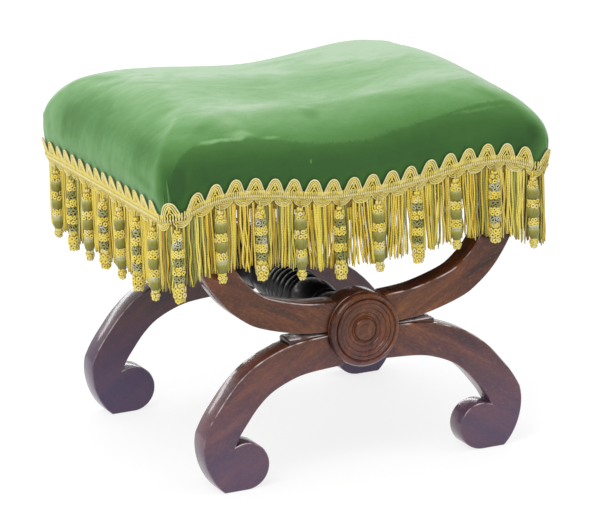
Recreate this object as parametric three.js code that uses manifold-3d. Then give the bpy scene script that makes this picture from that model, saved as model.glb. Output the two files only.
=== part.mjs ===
// A footstool with two crossed-scroll frames, a turned stretcher and a dished, stuffed velvet seat.
// Millimetres, +X along the seat, -Y to the front, +Z up; the origin is on the floor under the middle.
import * as THREE from "three";
import { mergeVertices } from "three/addons/utils/BufferGeometryUtils.js";
import Module from "manifold-3d";

const wasm = await Module();
wasm.setup();

// Running clearances
const GAP = 0.3;
const TRIM_GAP = 0.7;
const CUT_OVERRUN = 12;

// Overall sizes
const SEAT_LENGTH = 463;
const SEAT_DEPTH = 375;
const SEAT_CORNER_RADIUS = 16;
const DISH_RISE = 47;

// Crossed frames: hub, arms above it and legs below it
const FRAME_THICKNESS = 30;
const HUB_HEIGHT = 170;
const HUB_RADIUS = 43;
const BOSS_RADIUS = 44;
const BOSS_HEIGHT = 11;
const BOSS_SPIGOT_RADIUS = 8;
const BOSS_SPIGOT_LENGTH = 10;
const ARM_SET_IN = 43.5;
const ARM_WIDTH_AT_HUB = 34;
const ARM_WIDTH_AT_RAIL = 38.5;
const LEG_FALL_AT_HUB = 21.5;
const LEG_WIDTH_AT_HUB = 38.5;
const LEG_WIDTH_AT_ANKLE = 41;
const FOOT_LOBE_RADIUS = 28;
const FOOT_LOBE_REACH = 150;
const FOOT_SOLE_LENGTH = 28;
const FOOT_HEEL_BULGE = 7;
const CREASE_ANGLE = THREE.MathUtils.degToRad(62);
const ANKLE_TILT = THREE.MathUtils.degToRad(24);
const TONGUE_REACH = 92;
const TONGUE_ROOT_THICKNESS = 1.25;
const TONGUE_CLEARANCE = 2.2;
const TONGUE_TIP_RADIUS = 2.5;
const TONGUE_SET_BACK = 2;

// Dowels
const DOWEL_RADIUS = 5;
const DOWEL_LENGTH = 36;
const RAIL_DOWEL_RADIUS = 6;
const RAIL_DOWEL_LENGTH = 36;

// Turned stretcher
const STRETCHER_RADIUS = 23;
const STRETCHER_TENON_RADIUS = 11;
const STRETCHER_TENON_LENGTH = 15;
const BEAD_LENGTH = 12.4;
const BEAD_GROOVE_RADIUS = 19.5;

// Seat rails
const RAIL_THICKNESS = 36;
const RAIL_HEIGHT_AT_CORNER = 50;
const RAIL_ARCH_RISE = 20;
const CORNER_BLOCK_SIZE = 62;
const CORNER_BLOCK_NOSE = 12;
const CORNER_BLOCK_DROP = 4;
const CORNER_BLOCK_CLEARANCE = 4;

// Webbing, cloths and stuffing
const WEB_WIDTH = 50;
const WEB_THICKNESS = 1.5;
const WEB_EDGE_MARGIN = 12;
const WEB_RAMP_LENGTH = 8;
const LONG_WEB_SPACING = 130;
const CROSS_WEB_SPACING = 125;
const HESSIAN_THICKNESS = 1;
const DUST_COVER_THICKNESS = 1;
const DUST_COVER_RAMP = 10;
const CLOTH_EDGE_MARGIN = 8;
const COVER_THICKNESS = 2;
const COVER_HEM_RISE = 1;

// Cushion form
const BULGE = 12;
const SHOULDER_WIDTH = 80;
const SHOULDER_HEIGHT = 51;
const CREST_RISE = 10;
const CREST_SHARE = 0.7;
const END_FALL = 12;
const CROWN_RISE = 10;

// Braid and fringe
const BRAID_THICKNESS = 3;
const BRAID_VALLEY = 5;
const BRAID_PEAK = 16;
const BRAID_WAIST = 6;
const BRAID_LOBE = 10;
const HEADING_THICKNESS = 1;
const FRINGE_THICKNESS = 2.4;
const FRINGE_LENGTH = 82;
const FRINGE_CLEARANCE = 35.4;
const FRONT_HANGER_PITCH = 48.7;
const SIDE_HANGER_PITCH = 50.3;
const SCALLOPS_PER_HANGER = 2;
const FRONT_HANGER_OFFSET = 20;
const SIDE_HANGER_OFFSET = 7;
const HANGER_LENGTH = 79;
const HANGER_RADIUS = 7;
const HANGER_CLEARANCE = 0.5;
const HANGER_CORNER_MARGIN = 6;

// Steps of the curved surfaces
const EDGE_STEPS = 18;
const ARC_STEPS = 8;
const CORNER_STEPS = 4;
const SHORT_STEPS = 6;
const TURNED_STEPS = 24;
const DOWEL_STEPS = 12;
const HANGER_STEPS = 6;
const SHOULDER_STEPS = 4;
const BEAD_STEPS = 3;
const SCALLOP_STEPS = 2;

// Derived sizes
const halfLength = SEAT_LENGTH / 2;
const halfDepth = SEAT_DEPTH / 2;
const frameMiddle = halfDepth - FRAME_THICKNESS / 2;
const frameInside = halfDepth - FRAME_THICKNESS;
const armReach = halfLength - ARM_SET_IN;
const tongueTop = HUB_HEIGHT - LEG_FALL_AT_HUB + LEG_WIDTH_AT_HUB / 2 + TONGUE_ROOT_THICKNESS;
const armLineHeight = tongueTop + TONGUE_CLEARANCE + ARM_WIDTH_AT_HUB / 2;
const armDowelAngle = Math.asin((armLineHeight - HUB_HEIGHT) / HUB_RADIUS);
const legDowelAngle = -Math.asin(LEG_FALL_AT_HUB / HUB_RADIUS);

// Materials
const mahogany = new THREE.MeshStandardMaterial({ color: 0x5a3226, roughness: 0.32, metalness: 0 });
const ebonised = new THREE.MeshStandardMaterial({ color: 0x1c1412, roughness: 0.3, metalness: 0 });
const beech = new THREE.MeshStandardMaterial({ color: 0xb58f62, roughness: 0.7, metalness: 0 });
const jute = new THREE.MeshStandardMaterial({ color: 0xa88a5c, roughness: 0.95, metalness: 0 });
const linen = new THREE.MeshStandardMaterial({ color: 0x201f20, roughness: 0.95, metalness: 0 });
const horsehair = new THREE.MeshStandardMaterial({ color: 0x4b3d33, roughness: 1, metalness: 0 });
const velvet = new THREE.MeshStandardMaterial({ color: 0x4f8a4a, roughness: 0.85, metalness: 0 });
const goldBraid = new THREE.MeshStandardMaterial({ color: 0xd8be5e, roughness: 0.8, metalness: 0 });
const goldFringe = new THREE.MeshStandardMaterial({ color: 0xc9a83a, roughness: 0.8, metalness: 0 });

// Solids from points and faces; the faces are turned outwards if they came out inside out
function closedGeometry(points, faces) {
  let volume = 0;
  for (const [a, b, c] of faces) {
    volume += points[a].dot(points[b].clone().cross(points[c]));
  }
  const ordered = volume < 0 ? faces.map(([a, b, c]) => [a, c, b]) : faces;
  const geometry = new THREE.BufferGeometry();
  geometry.setAttribute("position", new THREE.Float32BufferAttribute(points.flatMap((p) => p.toArray()), 3));
  geometry.setIndex(ordered.flat());
  return geometry;
}

function bareCopy(geometry) {
  const bare = geometry.clone();
  bare.deleteAttribute("normal");
  bare.deleteAttribute("uv");
  return bare;
}

function toSolid(geometry) {
  const merged = mergeVertices(bareCopy(geometry));
  return new wasm.Manifold(new wasm.Mesh({
    numProp: 3,
    vertProperties: new Float32Array(merged.attributes.position.array),
    triVerts: new Uint32Array(merged.index.array),
  }));
}

function toGeometry(solid) {
  const mesh = solid.getMesh();
  const geometry = new THREE.BufferGeometry();
  geometry.setAttribute("position", new THREE.BufferAttribute(new Float32Array(mesh.vertProperties), 3));
  geometry.setIndex(new THREE.BufferAttribute(new Uint32Array(mesh.triVerts), 1));
  return geometry;
}

function outward(geometry) {
  const merged = mergeVertices(bareCopy(geometry));
  const points = [];
  for (let k = 0; k < merged.attributes.position.count; k += 1) {
    points.push(new THREE.Vector3().fromBufferAttribute(merged.attributes.position, k));
  }
  const faces = [];
  for (let k = 0; k < merged.index.count; k += 3) {
    const face = [merged.index.getX(k), merged.index.getX(k + 1), merged.index.getX(k + 2)];
    if (new Set(face).size === 3) {
      faces.push(face);
    }
  }
  return closedGeometry(points, faces);
}

function cutBy(geometry, tools) {
  let solid = toSolid(geometry);
  for (const tool of tools) {
    solid = solid.subtract(toSolid(tool));
  }
  return toGeometry(solid);
}

// An outline in the X-Z plane, extruded along Y from its near side to its far side
function upright(outline, near, far) {
  const geometry = new THREE.ExtrudeGeometry(new THREE.Shape(outline), {
    depth: far - near,
    bevelEnabled: false,
  });
  geometry.rotateX(Math.PI / 2);
  geometry.translate(0, far, 0);
  return geometry;
}

// A flat outline in the X-Y plane, extruded upwards
function flat(outline, bottom, top) {
  const geometry = new THREE.ExtrudeGeometry(new THREE.Shape(outline), {
    depth: top - bottom,
    bevelEnabled: false,
  });
  geometry.translate(0, 0, bottom);
  return geometry;
}

function mirrored(outline, side) {
  return outline.map((p) => new THREE.Vector2(p.x * side, p.y));
}

// Two distances from the middle, on the front or the rear side, in rising order
function spanOf(face, one, other) {
  return [face * one, face * other].sort((a, b) => a - b);
}

// Rods: along Y between two places, straight up, and outwards from the hub's rim at an angle
function rodAlongY(radius, near, far) {
  const geometry = new THREE.CylinderGeometry(radius, radius, far - near, TURNED_STEPS);
  geometry.translate(0, (near + far) / 2, HUB_HEIGHT);
  return geometry;
}

function rodUpright(radius, length, x, y, middle) {
  const geometry = new THREE.CylinderGeometry(radius, radius, length, DOWEL_STEPS);
  geometry.rotateX(Math.PI / 2);
  geometry.translate(x, y, middle);
  return geometry;
}

function rodFromHub(radius, length, angle, side, y) {
  const turn = side > 0 ? angle : Math.PI - angle;
  const geometry = new THREE.CylinderGeometry(radius, radius, length, DOWEL_STEPS);
  geometry.rotateZ(-Math.PI / 2);
  geometry.rotateY(-turn);
  geometry.translate(Math.cos(turn) * HUB_RADIUS, y, HUB_HEIGHT + Math.sin(turn) * HUB_RADIUS);
  return geometry;
}

// How low the long rails hang: arched, with the rise at equal steps from the middle to the corner's start
const RAIL_ARCH_SHARES = [0.12, 0.14, 0.24, 0.47, 0.72, 0.92, 1, 0.85, 0.3];
const LONG_STEPS = 2 * (RAIL_ARCH_SHARES.length - 1);

// The seat stands high enough for the fringe to end clear above the bosses
const hemAtMiddle = HUB_HEIGHT + BOSS_RADIUS + FRINGE_CLEARANCE + FRINGE_LENGTH - BRAID_LOBE;
const railBottomAtCorner = hemAtMiddle - COVER_HEM_RISE - RAIL_ARCH_RISE * RAIL_ARCH_SHARES[0];
const railTop = railBottomAtCorner + RAIL_HEIGHT_AT_CORNER;
const dishHeight = railTop + DISH_RISE;

const straightHalf = halfLength - SEAT_CORNER_RADIUS;
const railLow = RAIL_ARCH_SHARES.map((rise, k) => [
  2 * straightHalf * k / LONG_STEPS,
  railBottomAtCorner + RAIL_ARCH_RISE * rise,
]);
railLow.push([straightHalf + SEAT_CORNER_RADIUS * Math.SQRT1_2, railBottomAtCorner]);

function railBottom(x) {
  const next = railLow.findIndex(([place]) => place > Math.abs(x));
  if (next < 0) {
    return railBottomAtCorner;
  }
  const [[fromX, fromHeight], [toX, toHeight]] = [railLow[next - 1], railLow[next]];
  return fromHeight + (toHeight - fromHeight) * (Math.abs(x) - fromX) / (toX - fromX);
}

// The dished and crowned top of the cushion
function seatTop(x, y) {
  const along = Math.abs(x) / (halfLength + BULGE);
  const across = y / (halfDepth + BULGE);
  const crest = Math.sin(Math.PI / 2 * Math.min(1, along / CREST_SHARE)) ** 2;
  const fall = (Math.max(0, along - CREST_SHARE) / (1 - CREST_SHARE)) ** 2;
  return dishHeight + CREST_RISE * crest - END_FALL * fall + CROWN_RISE * (1 - across ** 2);
}

// Frame pieces follow a middle line, with a width that changes evenly from one end to the other
const ARM_LINE_SHARES = [
  [0.1, 0], [0.16, 0], [0.386, 0.023], [0.624, 0.107], [0.739, 0.192], [0.852, 0.335],
  [0.956, 0.559], [0.995, 0.79], [1, 1],
];
const LEG_LINE_SHARES = [
  [0.07, 0], [0.165, 0], [0.406, 0.034], [0.557, 0.1145], [0.7, 0.255], [0.812, 0.451],
  [0.906, 0.688], [0.96, 0.845], [1, 1],
];

function lineThrough(shares, startHeight, end) {
  const points = shares.map(([along, rise]) => new THREE.Vector2(
    end.x * along,
    startHeight + (end.y - startHeight) * rise,
  ));
  return new THREE.SplineCurve(points);
}

function edgesOf(line, startWidth, endWidth) {
  const left = [];
  const right = [];
  for (let k = 0; k <= EDGE_STEPS; k += 1) {
    const t = k / EDGE_STEPS;
    const middle = line.getPointAt(t);
    const tangent = line.getTangentAt(t);
    const half = (startWidth + (endWidth - startWidth) * t) / 2;
    left.push(new THREE.Vector2(middle.x - tangent.y * half, middle.y + tangent.x * half));
    right.push(new THREE.Vector2(middle.x + tangent.y * half, middle.y - tangent.x * half));
  }
  return { left, right };
}

function arcPoints(x, y, radius, from, to) {
  const points = [];
  for (let k = 0; k <= ARC_STEPS; k += 1) {
    const angle = from + (to - from) * k / ARC_STEPS;
    points.push(new THREE.Vector2(x + radius * Math.cos(angle), y + radius * Math.sin(angle)));
  }
  return points;
}

// The arm's top end follows the underside of the rail that it carries
function armOutline() {
  const end = new THREE.Vector2(armReach, railBottom(armReach) - GAP);
  const line = lineThrough(ARM_LINE_SHARES, armLineHeight, end);
  const { left, right } = edgesOf(line, ARM_WIDTH_AT_HUB, ARM_WIDTH_AT_RAIL);
  const inner = left.pop().x;
  const outer = right.pop().x;
  const between = railLow.map(([x]) => x).filter((x) => x > inner && x < outer).reverse();
  const seat = [outer, ...between, inner].map((x) => new THREE.Vector2(x, railBottom(x) - GAP));
  return [...right, ...seat, ...left.reverse()];
}

// The leg ends in a scroll foot: a heel curve, a flat sole and a round lobe that curls up to a crease
const crease = new THREE.Vector2(
  FOOT_LOBE_REACH + FOOT_LOBE_RADIUS * Math.cos(CREASE_ANGLE),
  FOOT_LOBE_RADIUS + FOOT_LOBE_RADIUS * Math.sin(CREASE_ANGLE),
);
const ankle = new THREE.Vector2(
  crease.x + LEG_WIDTH_AT_ANKLE / 2 * Math.cos(ANKLE_TILT),
  crease.y + LEG_WIDTH_AT_ANKLE / 2 * Math.sin(ANKLE_TILT),
);
const legEdges = edgesOf(
  lineThrough(LEG_LINE_SHARES, HUB_HEIGHT - LEG_FALL_AT_HUB, ankle),
  LEG_WIDTH_AT_HUB,
  LEG_WIDTH_AT_ANKLE,
);
const HEEL_SHARES = { upper: 0.65, lower: 0.2, tuck: 0.6 };

function legOutline() {
  const heelTop = legEdges.left.at(-1);
  const toe = new THREE.Vector2(FOOT_LOBE_REACH + FOOT_SOLE_LENGTH, 0);
  const heelRun = heelTop.x + FOOT_HEEL_BULGE - toe.x;
  const heel = new THREE.CubicBezierCurve(
    heelTop,
    new THREE.Vector2(heelTop.x + FOOT_HEEL_BULGE, heelTop.y * HEEL_SHARES.upper),
    new THREE.Vector2(toe.x + heelRun * HEEL_SHARES.tuck, heelTop.y * HEEL_SHARES.lower),
    toe,
  );
  const lobeEnd = CREASE_ANGLE - 2 * Math.PI;
  const lobe = arcPoints(FOOT_LOBE_REACH, FOOT_LOBE_RADIUS, FOOT_LOBE_RADIUS, -Math.PI / 2, lobeEnd);
  const inner = legEdges.right.slice(0, -1).reverse();
  return [...legEdges.left.slice(0, -1), ...heel.getPoints(ARC_STEPS), ...lobe, ...inner];
}

// A thin tongue with a flat top lies on the leg, in the narrow gap under the arm
function tongueOutline() {
  const tipX = TONGUE_REACH - TONGUE_TIP_RADIUS;
  const before = legEdges.left.findLast((p) => p.x < TONGUE_REACH);
  const after = legEdges.left.find((p) => p.x >= TONGUE_REACH);
  const slope = (after.y - before.y) / (after.x - before.x);
  const corner = new THREE.Vector2(TONGUE_REACH, before.y + slope * (TONGUE_REACH - before.x) + GAP);
  const under = legEdges.left.filter((p) => p.x < TONGUE_REACH).map((p) => new THREE.Vector2(p.x, p.y + GAP));
  const tip = arcPoints(tipX, tongueTop - TONGUE_TIP_RADIUS, TONGUE_TIP_RADIUS, 0, Math.PI / 2);
  return [...under, corner, ...tip, new THREE.Vector2(under[0].x, tongueTop)];
}

// Turned pieces
function turned(profile, steps) {
  const points = profile.map(([radius, along]) => new THREE.Vector2(radius, along));
  return outward(new THREE.LatheGeometry(points, steps));
}

const BOSS_SHARES = [
  [0.96, 0], [1, 0.2], [0.985, 0.6], [0.93, 0.9], [0.85, 1], [0.83, 0.84], [0.8, 0.93], [0.57, 0.82],
  [0.55, 0.62], [0.3, 0.5], [0.28, 0.78], [0.2, 0.84], [0, 0.66],
];

function bossGeometry(face) {
  const profile = [
    [0, -BOSS_SPIGOT_LENGTH],
    [BOSS_SPIGOT_RADIUS, -BOSS_SPIGOT_LENGTH],
    [BOSS_SPIGOT_RADIUS, 0],
    ...BOSS_SHARES.map(([across, rise]) => [across * BOSS_RADIUS, rise * BOSS_HEIGHT]),
  ];
  const geometry = turned(profile, TURNED_STEPS);
  if (face < 0) {
    geometry.rotateX(Math.PI);
  }
  geometry.translate(0, face * (halfDepth + GAP), HUB_HEIGHT);
  return geometry;
}

function hubGeometry(face) {
  const spigotEnd = halfDepth - BOSS_SPIGOT_LENGTH - GAP;
  const tenonEnd = frameInside + STRETCHER_TENON_LENGTH + GAP;
  const tools = [
    rodAlongY(BOSS_SPIGOT_RADIUS + GAP, ...spanOf(face, halfDepth, spigotEnd)),
    rodAlongY(STRETCHER_TENON_RADIUS + GAP, ...spanOf(face, frameInside, tenonEnd)),
  ];
  for (const side of [-1, 1]) {
    for (const angle of [armDowelAngle, legDowelAngle]) {
      tools.push(rodFromHub(DOWEL_RADIUS + GAP, DOWEL_LENGTH + 2 * GAP, angle, side, face * frameMiddle));
    }
  }
  return cutBy(rodAlongY(HUB_RADIUS, ...spanOf(face, halfDepth, frameInside)), tools);
}

// Two long vases meet at a group of beads in the middle
const VASE_SHARES = [[0.8, 1], [0.89, 0.9], [0.96, 0.76], [1, 0.56], [0.96, 0.36], [0.88, 0.24]];
const BEAD_SHARES = [0.96, 1, 1.06, 1, 0.96];

function stretcherGeometry() {
  const shoulder = frameInside - GAP;
  const tip = shoulder + STRETCHER_TENON_LENGTH;
  const vase = VASE_SHARES.map(([across, along]) => [across * STRETCHER_RADIUS, along * shoulder]);
  const tenon = [[STRETCHER_TENON_RADIUS, shoulder], [STRETCHER_TENON_RADIUS, tip], [0, tip]];
  const ending = [...vase.reverse(), ...tenon];
  const profile = ending.map(([radius, along]) => [radius, -along]).reverse();
  BEAD_SHARES.forEach((share, index) => {
    const start = (index - BEAD_SHARES.length / 2) * BEAD_LENGTH;
    const rise = share * STRETCHER_RADIUS - BEAD_GROOVE_RADIUS;
    for (let k = 0; k < BEAD_STEPS; k += 1) {
      const turn = Math.PI * k / BEAD_STEPS;
      profile.push([BEAD_GROOVE_RADIUS + rise * Math.sin(turn), start + BEAD_LENGTH * k / BEAD_STEPS]);
    }
  });
  profile.push([BEAD_GROOVE_RADIUS, BEAD_SHARES.length / 2 * BEAD_LENGTH], ...ending);
  const geometry = turned(profile, TURNED_STEPS);
  geometry.translate(0, 0, HUB_HEIGHT);
  return geometry;
}

// A ring of points round the seat's rounded outline, grown by some distance along and across
function seatRing(growLength, growDepth, radius, heightOf) {
  const ring = [];
  const length = halfLength + growLength;
  const depth = halfDepth + growDepth;
  const corners = [[1, -1], [1, 1], [-1, 1], [-1, -1]];
  corners.forEach(([signX, signY], index) => {
    const centreX = signX * (length - radius);
    const centreY = signY * (depth - radius);
    const from = (index - 1) * Math.PI / 2;
    for (let k = 0; k <= CORNER_STEPS; k += 1) {
      const turn = from + Math.PI / 2 * k / CORNER_STEPS;
      ring.push([centreX + radius * Math.cos(turn), centreY + radius * Math.sin(turn)]);
    }
    const steps = index % 2 === 0 ? SHORT_STEPS : LONG_STEPS;
    const start = ring.at(-1);
    const [nextX, nextY] = corners[(index + 1) % corners.length];
    const alongY = [start[0], nextY * (depth - radius)];
    const alongX = [nextX * (length - radius), start[1]];
    const end = index % 2 === 0 ? alongY : alongX;
    for (let k = 1; k < steps; k += 1) {
      ring.push([
        start[0] + (end[0] - start[0]) * k / steps,
        start[1] + (end[1] - start[1]) * k / steps,
      ]);
    }
  });
  return ring.map(([x, y]) => new THREE.Vector3(x, y, heightOf(x, y)));
}

function poleAt(height) {
  return new THREE.Vector3(0, 0, height);
}

// A closed skin over a run of rings, from a pole through every ring to another pole
function loft(firstPole, rings, lastPole) {
  const count = rings[0].length;
  const points = [firstPole, ...rings.flat(), lastPole];
  const last = points.length - 1;
  const faces = [];
  for (let k = 0; k < count; k += 1) {
    const next = (k + 1) % count;
    faces.push([0, 1 + next, 1 + k]);
    faces.push([last, last - count + k, last - count + next]);
    for (let ring = 0; ring < rings.length - 1; ring += 1) {
      const base = 1 + ring * count;
      faces.push([base + k, base + next, base + count + k]);
      faces.push([base + next, base + count + next, base + count + k]);
    }
  }
  return closedGeometry(points, faces);
}

// Rings of the cushion's surface, from the middle of its top out over the shoulder and down the side
const TOP_RING_SHARES = [0.35, 0.75];
const SIDE_SHARES = [0.66, 0.33, 0];

const hemOut = GAP + COVER_THICKNESS;
const fringeOut = hemOut + TRIM_GAP;

function sideOut(rise) {
  return hemOut + (BULGE - hemOut) * Math.sin(Math.PI / 2 * rise);
}

function grownRing(out, heightOf) {
  return seatRing(out, out, SEAT_CORNER_RADIUS + out, heightOf);
}

function cushionRings(inset, sideShares) {
  const bulgeRadius = SEAT_CORNER_RADIUS + BULGE;
  const rings = [];
  const innerLength = halfLength + BULGE - SHOULDER_WIDTH;
  const innerDepth = halfDepth + BULGE - SHOULDER_WIDTH;
  for (const share of TOP_RING_SHARES) {
    rings.push(seatRing(
      innerLength * share - halfLength,
      innerDepth * share - halfDepth,
      bulgeRadius * share,
      (x, y) => seatTop(x, y) - inset,
    ));
  }
  for (let k = SHOULDER_STEPS; k >= 0; k -= 1) {
    const turn = Math.PI / 2 * k / SHOULDER_STEPS;
    const out = BULGE - SHOULDER_WIDTH * (1 - Math.cos(turn)) - inset * Math.cos(turn);
    const drop = SHOULDER_HEIGHT * (1 - Math.sin(turn)) + inset * Math.sin(turn);
    rings.push(seatRing(out, out, bulgeRadius - inset, (x, y) => seatTop(x, y) - drop));
  }
  for (const rise of sideShares) {
    rings.push(grownRing(sideOut(rise) - inset, (x, y) => sideHeight(x, y, rise)));
  }
  return rings;
}

function sideHeight(x, y, rise) {
  const hem = railBottom(x) + COVER_HEM_RISE;
  return hem + (seatTop(x, y) - SHOULDER_HEIGHT - hem) * rise;
}

// The cover is the cushion less the same form drawn in by the cloth's thickness, open below
function coverGeometry() {
  const low = railBottom(0) + COVER_HEM_RISE;
  const outer = cushionRings(0, SIDE_SHARES);
  const inner = cushionRings(COVER_THICKNESS, SIDE_SHARES);
  inner.push(inner.at(-1).map((p) => new THREE.Vector3(p.x, p.y, p.z - CUT_OVERRUN)));
  const whole = loft(poleAt(seatTop(0, 0)), outer, poleAt(low));
  const hollow = loft(poleAt(seatTop(0, 0) - COVER_THICKNESS), inner, poleAt(low - CUT_OVERRUN));
  return cutBy(whole, [hollow]);
}

const webBottom = railTop + GAP;
const webRaised = webBottom + WEB_THICKNESS + GAP;
const hessianBottom = webRaised + WEB_THICKNESS + GAP;
const stuffingBottom = hessianBottom + HESSIAN_THICKNESS + GAP;

// The stuffing fills the cover and folds down over the outer edges of the rails
function stuffingGeometry() {
  const inset = COVER_THICKNESS + GAP;
  const [lipShare] = SIDE_SHARES;
  const rings = cushionRings(inset, [lipShare]);
  rings.push(grownRing(GAP, (x, y) => sideHeight(x, y, lipShare)));
  rings.push(grownRing(GAP, () => stuffingBottom));
  return loft(poleAt(seatTop(0, 0) - inset), rings, poleAt(stuffingBottom));
}

// Seat rails, with the long ones running through and rounded at the corners
function railOutline() {
  const right = [...railLow, [halfLength, railBottomAtCorner], [halfLength, railTop]];
  const left = right.slice(1).map(([x, height]) => [-x, height]).reverse();
  return [...left, ...right].map(([x, height]) => new THREE.Vector2(x, height));
}

function roundedPlan(grow, radius) {
  return seatRing(grow, grow, radius, () => 0).map((p) => new THREE.Vector2(p.x, p.y));
}

function railDowel(face, side, clearance) {
  const middle = railBottom(armReach) - GAP / 2;
  const length = RAIL_DOWEL_LENGTH + 2 * clearance;
  return rodUpright(RAIL_DOWEL_RADIUS + clearance, length, side * armReach, face * frameMiddle, middle);
}

function longRailGeometry(face) {
  const bar = toSolid(upright(railOutline(), ...spanOf(face, halfDepth, halfDepth - RAIL_THICKNESS)));
  const plan = toSolid(flat(roundedPlan(0, SEAT_CORNER_RADIUS), 0, railTop + CUT_OVERRUN));
  return cutBy(toGeometry(bar.intersect(plan)), [railDowel(face, -1, GAP), railDowel(face, 1, GAP)]);
}

function endRailGeometry(side) {
  const inner = halfDepth - RAIL_THICKNESS - GAP;
  const x = side * (halfLength - RAIL_THICKNESS / 2);
  const geometry = new THREE.BoxGeometry(RAIL_THICKNESS, inner * 2, RAIL_HEIGHT_AT_CORNER);
  geometry.translate(x, 0, railTop - RAIL_HEIGHT_AT_CORNER / 2);
  return outward(geometry);
}

function cornerBlockGeometry(side, face) {
  const x = side * (halfLength - RAIL_THICKNESS - GAP);
  const y = face * (halfDepth - RAIL_THICKNESS - GAP);
  const outline = [
    new THREE.Vector2(x, y),
    new THREE.Vector2(x - side * CORNER_BLOCK_SIZE, y),
    new THREE.Vector2(x - side * CORNER_BLOCK_SIZE, y - face * CORNER_BLOCK_NOSE),
    new THREE.Vector2(x - side * CORNER_BLOCK_NOSE, y - face * CORNER_BLOCK_SIZE),
    new THREE.Vector2(x, y - face * CORNER_BLOCK_SIZE),
  ];
  const bottom = railBottomAtCorner + RAIL_ARCH_RISE + CORNER_BLOCK_CLEARANCE;
  return flat(outline, bottom, railTop - CORNER_BLOCK_DROP);
}

// Webbing: each strap rises over every second strap that it crosses
const longWebPlaces = [-0.5, 0.5].map((step) => step * LONG_WEB_SPACING);
const crossWebPlaces = [-1, 0, 1].map((step) => step * CROSS_WEB_SPACING);

function webOutline(half, crossings) {
  const line = [[-half, webBottom]];
  for (const place of crossings) {
    const edge = WEB_WIDTH / 2 + WEB_THICKNESS;
    const foot = edge + WEB_RAMP_LENGTH;
    line.push([place - foot, webBottom], [place - edge, webRaised]);
    line.push([place + edge, webRaised], [place + foot, webBottom]);
  }
  line.push([half, webBottom]);
  const under = line.map(([along, height]) => new THREE.Vector2(along, height));
  const over = line.map(([along, height]) => new THREE.Vector2(along, height + WEB_THICKNESS)).reverse();
  return [...under, ...over];
}

function longWebGeometry(index) {
  const crossings = crossWebPlaces.filter((place, other) => (index + other) % 2 === 0);
  const outline = webOutline(halfLength - WEB_EDGE_MARGIN, crossings);
  return upright(outline, longWebPlaces[index] - WEB_WIDTH / 2, longWebPlaces[index] + WEB_WIDTH / 2);
}

function crossWebGeometry(index) {
  const crossings = longWebPlaces.filter((place, other) => (index + other) % 2 !== 0);
  const outline = webOutline(halfDepth - WEB_EDGE_MARGIN, crossings);
  const place = -crossWebPlaces[index];
  const geometry = upright(outline, place - WEB_WIDTH / 2, place + WEB_WIDTH / 2);
  geometry.rotateZ(Math.PI / 2);
  return geometry;
}

function hessianGeometry() {
  const outline = roundedPlan(-CLOTH_EDGE_MARGIN, SEAT_CORNER_RADIUS);
  return flat(outline, hessianBottom, hessianBottom + HESSIAN_THICKNESS);
}

// The dust cover lies under the long rails, steps down at the end rails and stops short of the arms
function dustCoverGeometry() {
  const railFace = halfLength - RAIL_THICKNESS;
  const edge = halfLength - CLOTH_EDGE_MARGIN;
  const rampStart = railFace - DUST_COVER_RAMP;
  const places = [...railLow.map(([x]) => x).filter((x) => x < rampStart), rampStart];
  const right = places.map((x) => [x, railBottom(x) - GAP]);
  right.push([railFace - GAP, railBottomAtCorner - GAP], [edge, railBottomAtCorner - GAP]);
  const left = right.slice(1).map(([x, height]) => [-x, height]).reverse();
  const top = [...left, ...right].map(([x, height]) => new THREE.Vector2(x, height));
  const under = top.map((p) => new THREE.Vector2(p.x, p.y - DUST_COVER_THICKNESS)).reverse();
  return upright([...top, ...under], -frameInside + GAP, frameInside - GAP);
}

// A side of the seat as a path from one mitred corner to the next, at some distance outside the rails
const SIDES = {
  front: { turn: 0, half: halfLength, offset: halfDepth, arched: true },
  right: { turn: Math.PI / 2, half: halfDepth, offset: halfLength, arched: false },
  rear: { turn: Math.PI, half: halfLength, offset: halfDepth, arched: true },
  left: { turn: -Math.PI / 2, half: halfDepth, offset: halfLength, arched: false },
};
const pathRadius = SEAT_CORNER_RADIUS + hemOut;

function straightOf(side) {
  return side.half - SEAT_CORNER_RADIUS;
}

function reachOf(side) {
  return straightOf(side) + pathRadius * Math.PI / 4 - GAP;
}

function sidePoint(side, along, out) {
  const straight = Math.min(Math.abs(along), straightOf(side));
  const over = (Math.abs(along) - straight) / pathRadius;
  const radius = SEAT_CORNER_RADIUS + out;
  const u = Math.sign(along) * (straight + radius * Math.sin(over));
  const v = side.offset - SEAT_CORNER_RADIUS + radius * Math.cos(over);
  const cos = Math.cos(side.turn);
  const sin = Math.sin(side.turn);
  return new THREE.Vector2(u * cos + v * sin, u * sin - v * cos);
}

function hemHeight(side, along) {
  const point = sidePoint(side, along, hemOut);
  return sideHeight(point.x, point.y, 0);
}

// How far out and how high the cover's side is, at a share of its way up to the shoulder
function coverAt(side, along, rise) {
  const point = sidePoint(side, along, sideOut(rise));
  return [sideOut(rise), sideHeight(point.x, point.y, rise)];
}

function coverOutAt(side, along, height) {
  const [middleShare, lowShare] = SIDE_SHARES.slice(1).map((share) => coverAt(side, along, share));
  const upper = coverAt(side, along, SIDE_SHARES[0]);
  const [from, to] = height < middleShare[1] ? [lowShare, middleShare] : [middleShare, upper];
  return from[0] + (to[0] - from[0]) * (height - from[1]) / (to[1] - from[1]);
}

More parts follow.
